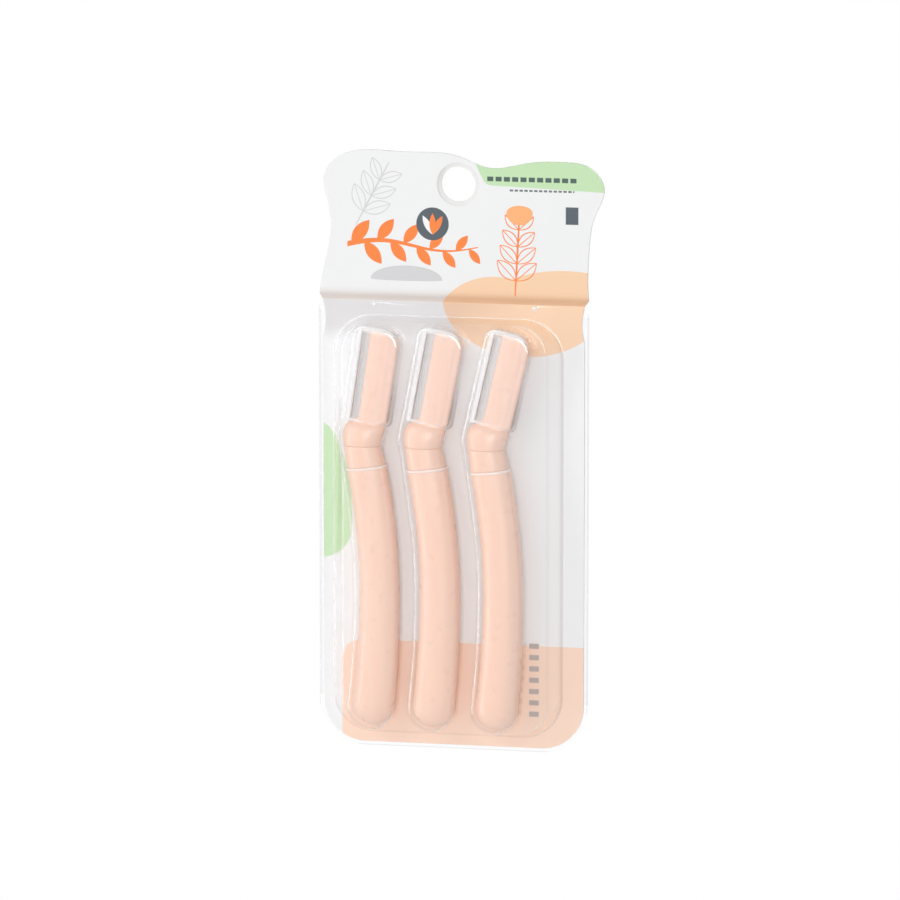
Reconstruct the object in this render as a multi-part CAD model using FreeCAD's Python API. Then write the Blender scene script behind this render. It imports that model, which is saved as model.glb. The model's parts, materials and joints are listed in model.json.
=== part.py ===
import FreeCAD, Part
import math
import os

# Three eyebrow razors in a slide-card blister pack, in millimetres.
# X runs to the right, Y to the back and Z up. The origin is the centre of the
# hang hole, halfway through the back ply of the card.

V = FreeCAD.Vector

# Card plies
ply = 0.6
hang_hole_radius = 6.0
hang_ring_radius = 7.5
header_width = 99.8
header_height = 52.2
hang_hole_share = 0.49
header_top = 10.9
header_foot = 2.0
crease_height = 3.7
crease_step = 1.4
card_side_gap = 1.1
card_bottom_gap = 1.2
card_corner = 14.8
waist_drop = 0.4
waist_height = 12.6
waist_depth = 1.0
header_outline_shares = [
    (0.025, 0.303),
    (0.040, 0.523),
    (0.023, 0.703),
    (0.017, 0.833),
    (0.061, 0.950),
    (0.139, 1.000),
    (0.310, 0.996),
    (0.490, 0.975),
    (0.595, 0.904),
    (0.730, 0.941),
    (0.861, 0.954),
    (0.951, 0.921),
    (1.000, 0.784),
    (0.968, 0.600),
    (0.948, 0.389),
]
header_foot_share = 0.947

# Blister sheet, its flange and its folded rails
sheet = 0.4
sheet_gap = 0.1
pack_centre_x = -2.0
blister_width = 95.0
blister_height = 156.4
blister_corner = 16.0
blister_top_corner = 3.0
flap_width = 6.0
flap_corner = 0.6
rail_end_gap = 1.0

# Stop studs at the blister's top edge
stop_radius = 1.0
stop_top_radius = 0.6
stop_height = 0.7
stop_drop = 1.1
stop_lefts = [-29.7, 26.8]

# Platform that the cavities stand on
platform_width = 80.6
platform_length = 146.5
platform_shift = -1.9
platform_drop = 4.9
platform_rise = 6.0
platform_corner = 14.0
platform_side_slope = 4.0
platform_end_slope = 2.0

# Cavities: how deep they are and how far they stand off a razor
cavity_rise = 12.2
cavity_gap = 2.0
cavity_cap_gap = 0.3
cavity_top_gap = 1.0
cavity_corner = 3.4
cavity_shoulder = 6.4
cavity_straight_share = 0.15
cavity_side_shares = [0.0, 0.25, 0.5, 0.75, 1.0]
cavity_level_shares = [(0.0, 1.0), (0.82, 0.55), (1.0, -0.6)]

# Razors: where they lie, from the hang hole, and how far each neck bends
razor_card_gap = 0.3
bow_below_blister_top = 101.8
razor_places = [-26.9, -5.5, 16.8]
head_leans = [8.3, 10.6, 12.9]

# Handle, measured from the height where its bow stands out furthest
handle_above_bow = 44.9
handle_below_bow = 45.9
handle_upper_bow_radius = 222.0
handle_lower_bow_radius = 350.0
handle_mouth_width = 14.0
handle_waist = 0.5
handle_end_width = 14.9
handle_thickness = 10.4
handle_end_round = 7.2
handle_stations = 6
dome_along_shares = [0.20, 0.38, 0.55, 0.69, 0.80, 0.89, 0.96]
lip_height = 1.0
lip_proud = 0.3

# Collar between the handle and the shoulder
collar_height = 7.2
collar_shift = 1.4
collar_top_width = 12.8
collar_mouth_width = 13.5
collar_thickness = 10.4
seam_step = 0.2

# Shoulder and blade holder: the holder's axis leaves the shoulder at the head's root
shoulder_height = 7.8
shoulder_shift = 3.7
shoulder_bulge = 1.3
shoulder_top_left = -1.5
shoulder_top_width = 11.6
shoulder_top_thickness = 6.8
shoulder_station_shares = [
    (0.50, 0.09, 0.9, 0.05),
    (0.86, 0.38, 0.7, 0.5),
]
holder_width = 10.2
holder_length = 32.4
holder_sink = 5.0
holder_crown = 6.2
holder_spine = 4.4
holder_jaw = 3.0
holder_round = 0.8
holder_tip_radius = 5.0
holder_jaw_radius = 1.0
tang_radius = 3.0
tang_reach = 16.0
tang_play = 0.05
tang_sink = 3.0
socket_spare = 0.6

# Blade
blade_length = 30.4
blade_stand_out = 2.6
blade_seat = 2.6
blade_thickness = 0.3
blade_grind = 1.0
blade_start = 0.3
blade_play = 0.02

# Clear cap
cap_play = 0.3
cap_wall = 0.8
cap_face_wall = 0.6
cap_end_wall = 0.6
cap_spine = 1.3
cap_start = 0.3
cap_tip_radius = 6.2
cap_heel_radius = 3.0
cap_edge_chamfer = 0.7

# One overrun serves every cut
overrun = 2.0

# Planes that follow from these sizes
header_left = -header_width * hang_hole_share
header_bottom = header_top - header_height
blister_top = header_bottom
card_front_y = crease_step - 1.5 * ply
flange_back_y = card_front_y - sheet_gap
flange_front_y = flange_back_y - sheet
card_back_y = crease_step + ply / 2
bow_drop = bow_below_blister_top - blister_top
razor_y = card_front_y - razor_card_gap - lip_proud - handle_thickness / 2
mouth_shift = math.sqrt(handle_upper_bow_radius**2 - handle_above_bow**2) - handle_upper_bow_radius
collar_top_left = mouth_shift - collar_shift
collar_top_rise = handle_above_bow + collar_height
head_root_left = collar_top_left + shoulder_shift
head_root_rise = collar_top_rise + shoulder_height
cap_length = holder_length + cap_play + cap_end_wall


def polar(radius, degrees):
    """Gives the sideways and upward parts of a length that leans by this angle."""
    angle = math.radians(degrees)
    return radius * math.sin(angle), radius * math.cos(angle)


def rounded_outline(corners):
    """Joins corner points with straight edges and rounds each by its own radius."""
    ends = []
    count = len(corners)
    for i, (point, radius) in enumerate(corners):
        back = (corners[i - 1][0] - point).normalize()
        ahead = (corners[(i + 1) % count][0] - point).normalize()
        half = back.getAngle(ahead) / 2
        middle = (back + ahead).normalize()
        reach = radius / math.tan(half)
        centre = point + middle * (radius / math.sin(half))
        ends.append((point + back * reach, centre - middle * radius, point + ahead * reach))
    edges = []
    for i, (start, crown, end) in enumerate(ends):
        edges.append(Part.Arc(start, crown, end).toShape())
        edges.append(Part.LineSegment(end, ends[(i + 1) % count][0]).toShape())
    return Part.Wire(edges)


def curve(points):
    """A smooth curve through the points."""
    spline = Part.BSplineCurve()
    spline.interpolate(points)
    return spline.toShape()


def curve_into(points, direction):
    """A smooth curve through the points that ends in this direction."""
    spline = Part.BSplineCurve()
    start = points[1] - points[0]
    spline.interpolate(Points=points, InitialTangent=start, FinalTangent=direction)
    return spline.toShape()


def line(start, end):
    return Part.LineSegment(start, end).toShape()


def arc(start, middle, end):
    return Part.Arc(start, middle, end).toShape()


def oval(centre, lean, width, thickness):
    """An ellipse across an axis that leans to the right by this angle."""
    across, drop = polar(width / 2, 90 - lean)
    side = centre + V(across, 0, -drop)
    depth = centre + V(0, thickness / 2, 0)
    return Part.Wire(Part.Ellipse(side, depth, centre).toShape())


def extrude_in_depth(wire, depth):
    return Part.Face(wire).extrude(V(0, depth, 0))


# Card


def card_outline(y):
    """The outline of both plies: wavy header, drawn-in waists and round lower corners."""
    foot_z = header_bottom + header_foot
    half = blister_width / 2 - sheet - card_side_gap
    left = pack_centre_x - half
    right = pack_centre_x + half
    bottom = blister_top - blister_height + card_bottom_gap
    header = [V(header_left, y, foot_z)]
    for across, up in header_outline_shares:
        header.append(V(header_left + header_width * across, y, header_bottom + header_height * up))
    header.append(V(header_left + header_width * header_foot_share, y, foot_z))
    waist_top = header_bottom - waist_drop
    waist_middle = waist_top - waist_height / 2
    waist_bottom = waist_top - waist_height
    corner_x, corner_z = polar(card_corner, 45)
    edges = [
        curve(header),
        line(header[-1], V(right, y, header_bottom)),
        line(V(right, y, header_bottom), V(right, y, waist_top)),
        arc(
            V(right, y, waist_top),
            V(right - waist_depth, y, waist_middle),
            V(right, y, waist_bottom),
        ),
        line(V(right, y, waist_bottom), V(right, y, bottom + card_corner)),
        arc(
            V(right, y, bottom + card_corner),
            V(right - card_corner + corner_x, y, bottom + card_corner - corner_z),
            V(right - card_corner, y, bottom),
        ),
        line(V(right - card_corner, y, bottom), V(left + card_corner, y, bottom)),
        arc(
            V(left + card_corner, y, bottom),
            V(left + card_corner - corner_x, y, bottom + card_corner - corner_z),
            V(left, y, bottom + card_corner),
        ),
        line(V(left, y, bottom + card_corner), V(left, y, waist_bottom)),
        arc(
            V(left, y, waist_bottom),
            V(left + waist_depth, y, waist_middle),
            V(left, y, waist_top),
        ),
        line(V(left, y, waist_top), V(left, y, header_bottom)),
        line(V(left, y, header_bottom), header[0]),
    ]
    return Part.Wire(edges)


def ply_side(y, x):
    """One face of a ply seen from the side: header, the two bends of the crease, lower card."""
    top = V(x, y, header_top + overrun)
    crease_top = header_bottom + crease_height
    bend_radius = (crease_height**2 + crease_step**2) / (4 * crease_step)
    bend = math.atan(crease_step / crease_height)
    inward = bend_radius * (1 - math.cos(bend))
    along = bend_radius * math.sin(bend)
    start = V(x, y, crease_top)
    middle = V(x, y + crease_step / 2, crease_top - crease_height / 2)
    end = V(x, y + crease_step, header_bottom)
    bottom = V(x, y + crease_step, blister_top - blister_height - overrun)
    return [
        line(top, start),
        arc(start, V(x, y + inward, crease_top - along), middle),
        arc(middle, V(x, y + crease_step - inward, header_bottom + along), end),
        line(end, bottom),
    ]


def make_ply(front_y, hole_radius):
    """Bends a ply over the crease, then cuts it to the outline and punches its hole."""
    x = header_left - overrun
    front = ply_side(front_y, x)
    back = ply_side(front_y + ply, x)
    top = line(back[0].Vertexes[0].Point, front[0].Vertexes[0].Point)
    bottom = line(front[-1].Vertexes[-1].Point, back[-1].Vertexes[-1].Point)
    section = Part.Wire(Part.sortEdges(front + back + [top, bottom])[0])
    bent = Part.Face(section).extrude(V(header_width + 2 * overrun, 0, 0))
    start_y = front_y - overrun
    depth = crease_step + ply + 2 * overrun
    blank = bent.common(extrude_in_depth(card_outline(start_y), depth))
    hole = Part.makeCylinder(hole_radius, depth, V(0, start_y, 0), V(0, 1, 0))
    return blank.cut(hole)


def make_back_card():
    return make_ply(-ply / 2, hang_hole_radius)


def make_front_card():
    return make_ply(-1.5 * ply, hang_ring_radius)


# Razor, in its own frame: the origin lies on the handle's axis where the bow stands out


def handle_axis(rise):
    """The handle's axis at this height: its point, and how far it leans to the right."""
    radius = handle_upper_bow_radius if rise > 0 else handle_lower_bow_radius
    sideways = math.sqrt(radius**2 - rise**2) - radius
    return V(sideways, 0, rise), -math.degrees(math.asin(rise / radius))


def handle_oval(rise, share):
    """The handle's oval at this height, drawn in to a share of its full size."""
    place = (handle_above_bow - rise) / (handle_above_bow + handle_below_bow)
    even = handle_mouth_width + (handle_end_width - handle_mouth_width) * place
    width = even - 4 * handle_waist * place * (1 - place)
    point, lean = handle_axis(rise)
    return oval(point, lean, width * share, handle_thickness * share)


def make_handle():
    """Ovals along the bowed axis that close over a round end, a lip and a socket."""
    dome_rise = handle_end_round - handle_below_bow
    sections = []
    for i in range(handle_stations + 1):
        rise = handle_above_bow + (dome_rise - handle_above_bow) * i / handle_stations
        sections.append(handle_oval(rise, 1))
    for along in dome_along_shares:
        rise = dome_rise - handle_end_round * along
        sections.append(handle_oval(rise, math.sqrt(1 - along**2)))
    body = Part.makeLoft(sections, True, True)

    mouth, lean = handle_axis(handle_above_bow)
    side, up = polar(lip_height, lean)
    width = handle_mouth_width + 2 * lip_proud
    lip = Part.Face(oval(mouth, lean, width, handle_thickness + 2 * lip_proud))
    body = body.fuse(lip.extrude(V(-side, 0, -up)))
    return body.cut(tang_solid(tang_radius + tang_play, tang_reach + socket_spare))


def tang_solid(radius, reach):
    """The round tang, from inside the shoulder through the collar and down the socket."""
    top = V(collar_top_left, 0, collar_top_rise)
    mouth = handle_axis(handle_above_bow)[0]
    down = (mouth - top).normalize()
    length = tang_sink + top.distanceToPoint(mouth) + reach
    return Part.makeCylinder(radius, length, top - down * tang_sink, down)


def make_collar():
    """The ring between the two seams."""
    mouth, mouth_lean = handle_axis(handle_above_bow)
    top = V(collar_top_left, 0, collar_top_rise)
    sections = [
        oval(mouth, mouth_lean, collar_mouth_width, collar_thickness),
        oval(top, 0, collar_top_width, collar_thickness),
    ]
    ring = Part.makeLoft(sections, True, True)
    return ring.cut(tang_solid(tang_radius + tang_play, tang_reach))


def head_point(lean, across, depth, along):
    """A point given across, into and along the blade holder."""
    out_x, out_z = polar(along, lean)
    side_z, side_x = polar(across, lean)
    return V(head_root_left + out_x + side_x, depth, head_root_rise + out_z - side_z)


def head_axis(lean, length):
    side, up = polar(length, lean)
    return V(side, 0, up)


def head_outline(lean, left, right, bottom, top, heel_radius, tip_radius, depth):
    """A plate outline in the holder's frame: square at the bottom, rounded at the top."""
    heel_side, heel_up = polar(heel_radius, 45)
    tip_side, tip_up = polar(tip_radius, 45)
    low_left = head_point(lean, left, depth, bottom)
    low_right = head_point(lean, right, depth, bottom)
    heel_start = head_point(lean, left, depth, top - heel_radius)
    heel_middle = head_point(
        lean, left + heel_radius - heel_side, depth, top - heel_radius + heel_up
    )
    heel_end = head_point(lean, left + heel_radius, depth, top)
    tip_start = head_point(lean, right - tip_radius, depth, top)
    tip_middle = head_point(lean, right - tip_radius + tip_side, depth, top - tip_radius + tip_up)
    tip_end = head_point(lean, right, depth, top - tip_radius)
    return Part.Wire(
        [
            line(low_left, heel_start),
            arc(heel_start, heel_middle, heel_end),
            line(heel_end, tip_start),
            arc(tip_start, tip_middle, tip_end),
            line(tip_end, low_right),
            line(low_right, low_left),
        ]
    )


def holder_section(lean):
    """The holder's crowned cross-section: thin jaws on the left, full on the right."""
    left = -holder_width / 2
    right = holder_width / 2
    jaw = holder_jaw / 2
    spine = holder_spine / 2
    crown = holder_crown / 2

    def at(across, depth):
        return head_point(lean, across, depth, -holder_sink)

    return Part.Wire(
        [
            arc(at(left, -jaw), at(0, -crown), at(right - holder_round, -spine)),
            arc(at(right - holder_round, -spine), at(right, 0), at(right - holder_round, spine)),
            arc(at(right - holder_round, spine), at(0, crown), at(left, jaw)),
            line(at(left, jaw), at(left, -jaw)),
        ]
    )


def make_shoulder(lean):
    """The rounded shoulder, from the neck's upper seam up to the holder's root."""
    foot = V(collar_top_left, 0, collar_top_rise)
    rise = head_root_rise - collar_top_rise
    across = head_root_left - collar_top_left
    inset = 2 * seam_step
    sections = [oval(foot, 0, collar_top_width - inset, collar_thickness - inset)]
    for up_share, side_share, bulge_share, thin_share in shoulder_station_shares:
        centre = foot + V(across * side_share, 0, rise * up_share)
        width = collar_top_width + shoulder_bulge * bulge_share
        thickness = collar_thickness + (shoulder_top_thickness - collar_thickness) * thin_share
        sections.append(oval(centre, lean * up_share, width, thickness))
    top = head_point(lean, shoulder_top_left, 0, 0)
    sections.append(oval(top, lean, shoulder_top_width, shoulder_top_thickness))
    return Part.makeLoft(sections, True, True)


def make_blade_head(lean):
    """Shoulder, crowned holder and tang in one moulding, slotted for the blade."""
    left = -holder_width / 2
    right = holder_width / 2
    bar = Part.Face(holder_section(lean)).extrude(head_axis(lean, holder_sink + holder_length))
    trim = head_outline(
        lean,
        left,
        right,
        -holder_sink,
        holder_length,
        holder_jaw_radius,
        holder_tip_radius,
        -holder_crown,
    )
    holder = bar.common(extrude_in_depth(trim, 2 * holder_crown))
    tang = tang_solid(tang_radius, tang_reach)
    head = make_shoulder(lean).fuse(holder).fuse(tang)
    slot_half = blade_thickness / 2 + blade_play
    slot = Part.makePolygon(
        [
            head_point(lean, left + blade_seat + blade_play, -slot_half, blade_start - blade_play),
            head_point(lean, left + blade_seat + blade_play, slot_half, blade_start - blade_play),
            head_point(lean, left - overrun - blade_stand_out, slot_half, blade_start - blade_play),
            head_point(lean, left - overrun - blade_stand_out, -slot_half, blade_start - blade_play),
            head_point(lean, left + blade_seat + blade_play, -slot_half, blade_start - blade_play),
        ]
    )
    depth = head_axis(lean, blade_length + 2 * blade_play)
    return head.cut(Part.Face(slot).extrude(depth))


def make_blade(lean):
    """A steel strip, ground to an edge on both faces."""
    half = blade_thickness / 2
    left = -holder_width / 2
    edge = left - blade_stand_out
    section = Part.makePolygon(
        [
            head_point(lean, edge, 0, blade_start),
            head_point(lean, edge + blade_grind, half, blade_start),
            head_point(lean, left + blade_seat, half, blade_start),
            head_point(lean, left + blade_seat, -half, blade_start),
            head_point(lean, edge + blade_grind, -half, blade_start),
            head_point(lean, edge, 0, blade_start),
        ]
    )
    return Part.Face(section).extrude(head_axis(lean, blade_length))


def make_cap(lean):
    """The clear sheath: a rounded box, hollow from its mouth, with a thick left spine."""
    inner_left = -holder_width / 2 - blade_stand_out - cap_play
    inner_right = holder_width / 2 + cap_play
    inner_half = holder_crown / 2 + cap_play
    inner_top = holder_length + cap_play
    outer_half = inner_half + cap_face_wall
    outline = head_outline(
        lean,
        inner_left - cap_spine,
        inner_right + cap_wall,
        cap_start,
        cap_length,
        cap_heel_radius,
        cap_tip_radius,
        -outer_half,
    )
    shell = extrude_in_depth(outline, 2 * outer_half)
    rims = []
    for edge in shell.Edges:
        middle = edge.valueAt((edge.FirstParameter + edge.LastParameter) / 2)
        low = head_point(lean, 0, 0, cap_start)
        above_mouth = (middle - low).dot(head_axis(lean, 1.0)) > cap_edge_chamfer
        if above_mouth and abs(abs(middle.y) - outer_half) < cap_face_wall / 2:
            rims.append(edge)
    shell = shell.makeChamfer(cap_edge_chamfer, rims)
    hollow = head_outline(
        lean,
        inner_left,
        inner_right,
        cap_start - overrun,
        inner_top,
        cap_heel_radius - cap_spine,
        cap_tip_radius - cap_wall,
        -inner_half,
    )
    return shell.cut(extrude_in_depth(hollow, 2 * inner_half))


# Blister


def cavity_outline(lean, gap, depth):
    """The outline round one razor at this distance from it, in the razor's frame."""
    at_left = []
    at_right = []
    low = handle_end_round - handle_below_bow
    high = handle_above_bow - handle_mouth_width / 2
    for share in cavity_side_shares:
        rise = low + (high - low) * share
        point, tilt = handle_axis(rise)
        half = (handle_end_width + (handle_mouth_width - handle_end_width) * share) / 2 + gap
        across, drop = polar(half, 90 - tilt)
        at_left.append(point + V(-across, depth, drop))
        at_right.append(point + V(across, depth, -drop))
    neck = collar_top_width / 2 + gap
    bulge = (collar_top_rise + head_root_rise) / 2
    at_left.append(V(collar_top_left - neck, depth, collar_top_rise))
    at_left.append(V(collar_top_left - neck - shoulder_bulge / 2, depth, bulge))
    at_right.append(V(collar_top_left + neck + shoulder_bulge, depth, collar_top_rise))
    stand_off = gap + cavity_cap_gap
    left = -holder_width / 2 - blade_stand_out - cap_play - cap_spine - stand_off
    right = holder_width / 2 + cap_play + cap_wall + stand_off
    top = cap_length + gap + cavity_top_gap
    heel = cap_length - cavity_corner
    tip = cap_length - cavity_shoulder
    heel_reach = top - heel
    tip_reach = top - tip
    at_left.append(head_point(lean, left, depth, heel * cavity_straight_share))
    at_right.append(head_point(lean, right, depth, heel * cavity_straight_share))
    heel_start = head_point(lean, left, depth, heel)
    tip_end = head_point(lean, right, depth, tip)
    corner = 1 - math.cos(math.radians(45))
    heel_middle = head_point(lean, left + heel_reach * corner, depth, top - heel_reach * corner)
    tip_middle = head_point(lean, right - tip_reach * corner, depth, top - tip_reach * corner)
    heel_end = head_point(lean, left + heel_reach, depth, top)
    tip_start = head_point(lean, right - tip_reach, depth, top)
    bottom = handle_axis(-handle_below_bow)[0] + V(0, depth, -gap)
    return Part.Wire(
        [
            curve_into(at_left, head_axis(lean, heel)),
            line(at_left[-1], heel_start),
            arc(heel_start, heel_middle, heel_end),
            line(heel_end, tip_start),
            arc(tip_start, tip_middle, tip_end),
            line(tip_end, at_right[-1]),
            curve_into(at_right, head_axis(lean, heel)),
            arc(at_right[0], bottom, at_left[0]),
        ]
    )


def make_cavity(lean, place, inset):
    """One cavity as a solid. With an inset of the sheet's thickness it is the hollow."""
    base_y = flange_front_y + inset
    rise = cavity_rise
    sections = []
    if inset > 0:
        sections.append(cavity_outline(lean, cavity_gap - inset, base_y + overrun))
    for rise_share, gap_share in cavity_level_shares:
        gap = cavity_gap * gap_share - inset
        sections.append(cavity_outline(lean, gap, base_y - rise * rise_share))
    solid = Part.makeLoft(sections, True, True)
    solid.translate(V(place, 0, -bow_drop))
    return solid


def platform_outline(y, side_inset, end_inset, corner):
    centre_x = pack_centre_x + platform_shift
    top = blister_top - platform_drop - end_inset
    bottom = blister_top - platform_drop - platform_length + end_inset
    left = centre_x - platform_width / 2 + side_inset
    right = centre_x + platform_width / 2 - side_inset
    return rounded_outline(
        [
            (V(left, y, bottom), corner),
            (V(right, y, bottom), corner),
            (V(right, y, top), corner),
            (V(left, y, top), corner),
        ]
    )


def make_platform(inset):
    """The low step under the cavities, with sloping walls."""
    base_y = flange_front_y + inset
    top_y = base_y - platform_rise
    top_corner = platform_corner - platform_end_slope - inset
    sections = [
        platform_outline(base_y, inset, inset, platform_corner - inset),
        platform_outline(
            top_y, platform_side_slope + inset, platform_end_slope + inset, top_corner
        ),
    ]
    if inset > 0:
        base = platform_outline(base_y + overrun, inset, inset, platform_corner - inset)
        sections.insert(0, base)
    return Part.makeLoft(sections, True, True)


def make_flange():
    half = blister_width / 2
    bottom = blister_top - blister_height
    outline = rounded_outline(
        [
            (V(pack_centre_x - half, flange_front_y, bottom), blister_corner),
            (V(pack_centre_x + half, flange_front_y, bottom), blister_corner),
            (V(pack_centre_x + half, flange_front_y, blister_top), blister_top_corner),
            (V(pack_centre_x - half, flange_front_y, blister_top), blister_top_corner),
        ]
    )
    return extrude_in_depth(outline, sheet)


def make_rail(side):
    """The sheet folded round one side edge of the card: a wall and a flap behind it."""
    half = blister_width / 2
    bottom = blister_top - blister_height + blister_corner + rail_end_gap
    length = blister_height - blister_corner - blister_top_corner - 2 * rail_end_gap
    depth = card_back_y + sheet_gap + sheet - flange_front_y
    outer_x = pack_centre_x + side * half
    low_x = min(outer_x, outer_x - side * flap_width)
    channel = Part.makeBox(flap_width, depth, length, V(low_x, flange_front_y, bottom))
    back_edges = []
    for edge in channel.Edges:
        middle = edge.valueAt((edge.FirstParameter + edge.LastParameter) / 2)
        outer = abs(middle.x - outer_x) < sheet
        behind = abs(middle.y - flange_front_y - depth) < sheet
        if outer and behind:
            back_edges.append(edge)
    channel = channel.makeFillet(flap_corner, back_edges)
    throat_x = low_x - overrun if side > 0 else low_x + sheet
    throat = Part.makeBox(
        flap_width + overrun - sheet,
        depth - 2 * sheet,
        length + 2 * overrun,
        V(throat_x, flange_back_y, bottom - overrun),
    )
    return channel.cut(throat)


def make_stop(place):
    """A small round stud that stands out of the flange."""
    foot = V(place, flange_front_y, blister_top - stop_drop)
    return Part.makeCone(stop_radius, stop_top_radius, stop_height, foot, V(0, -1, 0))


def make_blister():
    """Flange, platform and cavities, hollowed by their own shapes less the sheet, and rails."""
    formed = make_flange().fuse(make_platform(0))
    hollow = make_platform(sheet)
    for place, lean in zip(razor_places, head_leans):
        formed = formed.fuse(make_cavity(lean, place, 0))
        hollow = hollow.fuse(make_cavity(lean, place, sheet))
    formed = formed.cut(hollow)
    for side in (-1, 1):
        formed = formed.fuse(make_rail(side))
    for place in stop_lefts:
        formed = formed.fuse(make_stop(place))
    return formed.removeSplitter()


def save(shape, name):
    """Writes one piece, and says so if it isn't a single sound solid."""
    if not shape.isValid() or len(shape.Solids) != 1:
        print(name, "is not one valid solid:", len(shape.Solids))
    shape.exportStep("parts/" + name + ".step")


def main():
    os.makedirs("parts", exist_ok=True)
    save(make_back_card(), "back_card")
    save(make_front_card(), "front_card")
    save(make_blister(), "blister")
    for number, (place, lean) in enumerate(zip(razor_places, head_leans), 1):
        pieces = {
            "handle": make_handle(),
            "collar": make_collar(),
            "blade_head": make_blade_head(lean),
            "blade": make_blade(lean),
            "cap": make_cap(lean),
        }
        for name, shape in pieces.items():
            shape.translate(V(place, razor_y, -bow_drop))
            save(shape, name + "_" + str(number))


main()
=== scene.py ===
import json
import math

import bmesh
import bpy
from mathutils import Matrix, Vector
from mathutils.geometry import delaunay_2d_cdt


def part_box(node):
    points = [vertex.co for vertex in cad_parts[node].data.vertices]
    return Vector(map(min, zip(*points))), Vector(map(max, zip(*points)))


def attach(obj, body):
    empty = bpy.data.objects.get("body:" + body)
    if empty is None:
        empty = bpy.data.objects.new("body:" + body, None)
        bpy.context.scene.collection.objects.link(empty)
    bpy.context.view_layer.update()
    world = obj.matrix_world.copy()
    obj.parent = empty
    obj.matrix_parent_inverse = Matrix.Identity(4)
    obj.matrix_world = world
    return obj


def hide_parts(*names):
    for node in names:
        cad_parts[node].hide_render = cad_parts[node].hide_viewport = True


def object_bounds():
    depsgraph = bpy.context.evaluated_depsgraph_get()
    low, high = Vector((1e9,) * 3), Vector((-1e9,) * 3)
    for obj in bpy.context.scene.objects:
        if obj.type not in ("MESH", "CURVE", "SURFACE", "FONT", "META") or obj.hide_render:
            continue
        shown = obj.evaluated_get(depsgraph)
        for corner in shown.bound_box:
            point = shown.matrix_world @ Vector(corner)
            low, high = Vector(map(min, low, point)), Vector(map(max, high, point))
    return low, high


bl_info = {
    "name": "Carded Eyebrow Razors",
    "version": (1, 0, 0),
    "blender": (4, 5, 0),
    "location": "3D View > Sidebar > Razor Pack",
    "description": "Dresses the packed model of three eyebrow razors on a slide card",
    "category": "Object",
}

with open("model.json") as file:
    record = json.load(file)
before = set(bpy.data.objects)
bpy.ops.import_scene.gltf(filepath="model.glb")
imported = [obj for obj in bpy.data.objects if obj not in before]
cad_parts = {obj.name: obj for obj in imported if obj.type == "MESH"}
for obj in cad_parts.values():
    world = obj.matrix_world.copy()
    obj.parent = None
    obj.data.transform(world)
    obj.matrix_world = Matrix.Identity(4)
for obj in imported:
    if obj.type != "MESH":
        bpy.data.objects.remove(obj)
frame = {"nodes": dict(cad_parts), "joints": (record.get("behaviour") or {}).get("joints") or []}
cad_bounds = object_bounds()

# Lengths are in metres, written as millimetres times this
MM = 0.001
MERGE_DISTANCE = 0.001 * MM
FINE_RELIEF = 0.01 * MM
RAZORS = (1, 2, 3)
WHITE = (1.0, 1.0, 1.0, 1.0)

# Razor: handle, measured from the height where its bow stands out furthest
HANDLE_ABOVE_BOW = 44.9 * MM
HANDLE_BELOW_BOW = 45.9 * MM
HANDLE_UPPER_BOW_RADIUS = 222.0 * MM
HANDLE_LOWER_BOW_RADIUS = 350.0 * MM
HANDLE_MOUTH_WIDTH = 14.0 * MM
HANDLE_END_WIDTH = 14.9 * MM
HANDLE_WAIST = 0.5 * MM
HANDLE_THICKNESS = 10.4 * MM
HANDLE_END_ROUND = 7.2 * MM
LIP_HEIGHT = 1.0 * MM
LIP_PROUD = 0.3 * MM
LIP_REACH = 1.05
MOUTH_TILT_SHARE = 0.55
MOUTH_TILT_REACH = 14.0 * MM

# Razor: collar and shoulder
COLLAR_HEIGHT = 7.2 * MM
COLLAR_SHIFT = 1.4 * MM
COLLAR_TOP_WIDTH = 12.8 * MM
COLLAR_MOUTH_WIDTH = 13.5 * MM
COLLAR_THICKNESS = 10.4 * MM
SEAM_DEPTH = 0.25 * MM
SEAM_HEIGHT = 0.45 * MM
SHOULDER_HEIGHT = 7.8 * MM
SHOULDER_SHIFT = 3.7 * MM
SHOULDER_BULGE = 1.3 * MM
SHOULDER_TOP_THICKNESS = 6.8 * MM

# Razor: blade holder, in its own frame of across and along
HOLDER_WIDTH = 10.2 * MM
HOLDER_LENGTH = 32.4 * MM
HOLDER_CROWN = 6.2 * MM
HOLDER_SPINE = 4.4 * MM
HOLDER_JAW = 3.0 * MM
HOLDER_TIP_RADIUS = 5.0 * MM
HOLDER_JAW_RADIUS = 1.0 * MM
HOLDER_EDGE_ROUND = 0.5 * MM
HOLDER_EDGE_PRESS = 0.25
HOLDER_BLEND_HEIGHT = 1.6 * MM
HOLDER_LEVELS = (4.0 * MM, 12.0 * MM, 20.0 * MM)
FLUTE_PLACES = (0.9 * MM, 3.4 * MM)
FLUTE_DEPTH = 0.12 * MM
FLUTE_HALF_WIDTH = 0.45 * MM
BLADE_STAND_OUT = 2.6 * MM

# Clear cap
CAP_PLAY = 0.3 * MM
CAP_WALL = 0.8 * MM
CAP_FACE_WALL = 0.6 * MM
CAP_SPINE = 1.3 * MM
CAP_START = 0.3 * MM
CAP_TIP_RADIUS = 6.2 * MM
CAP_HEEL_RADIUS = 3.0 * MM
CAP_EDGE_ROUND = 1.1 * MM
CAP_LEAST_ROUND = 0.2 * MM

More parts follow.
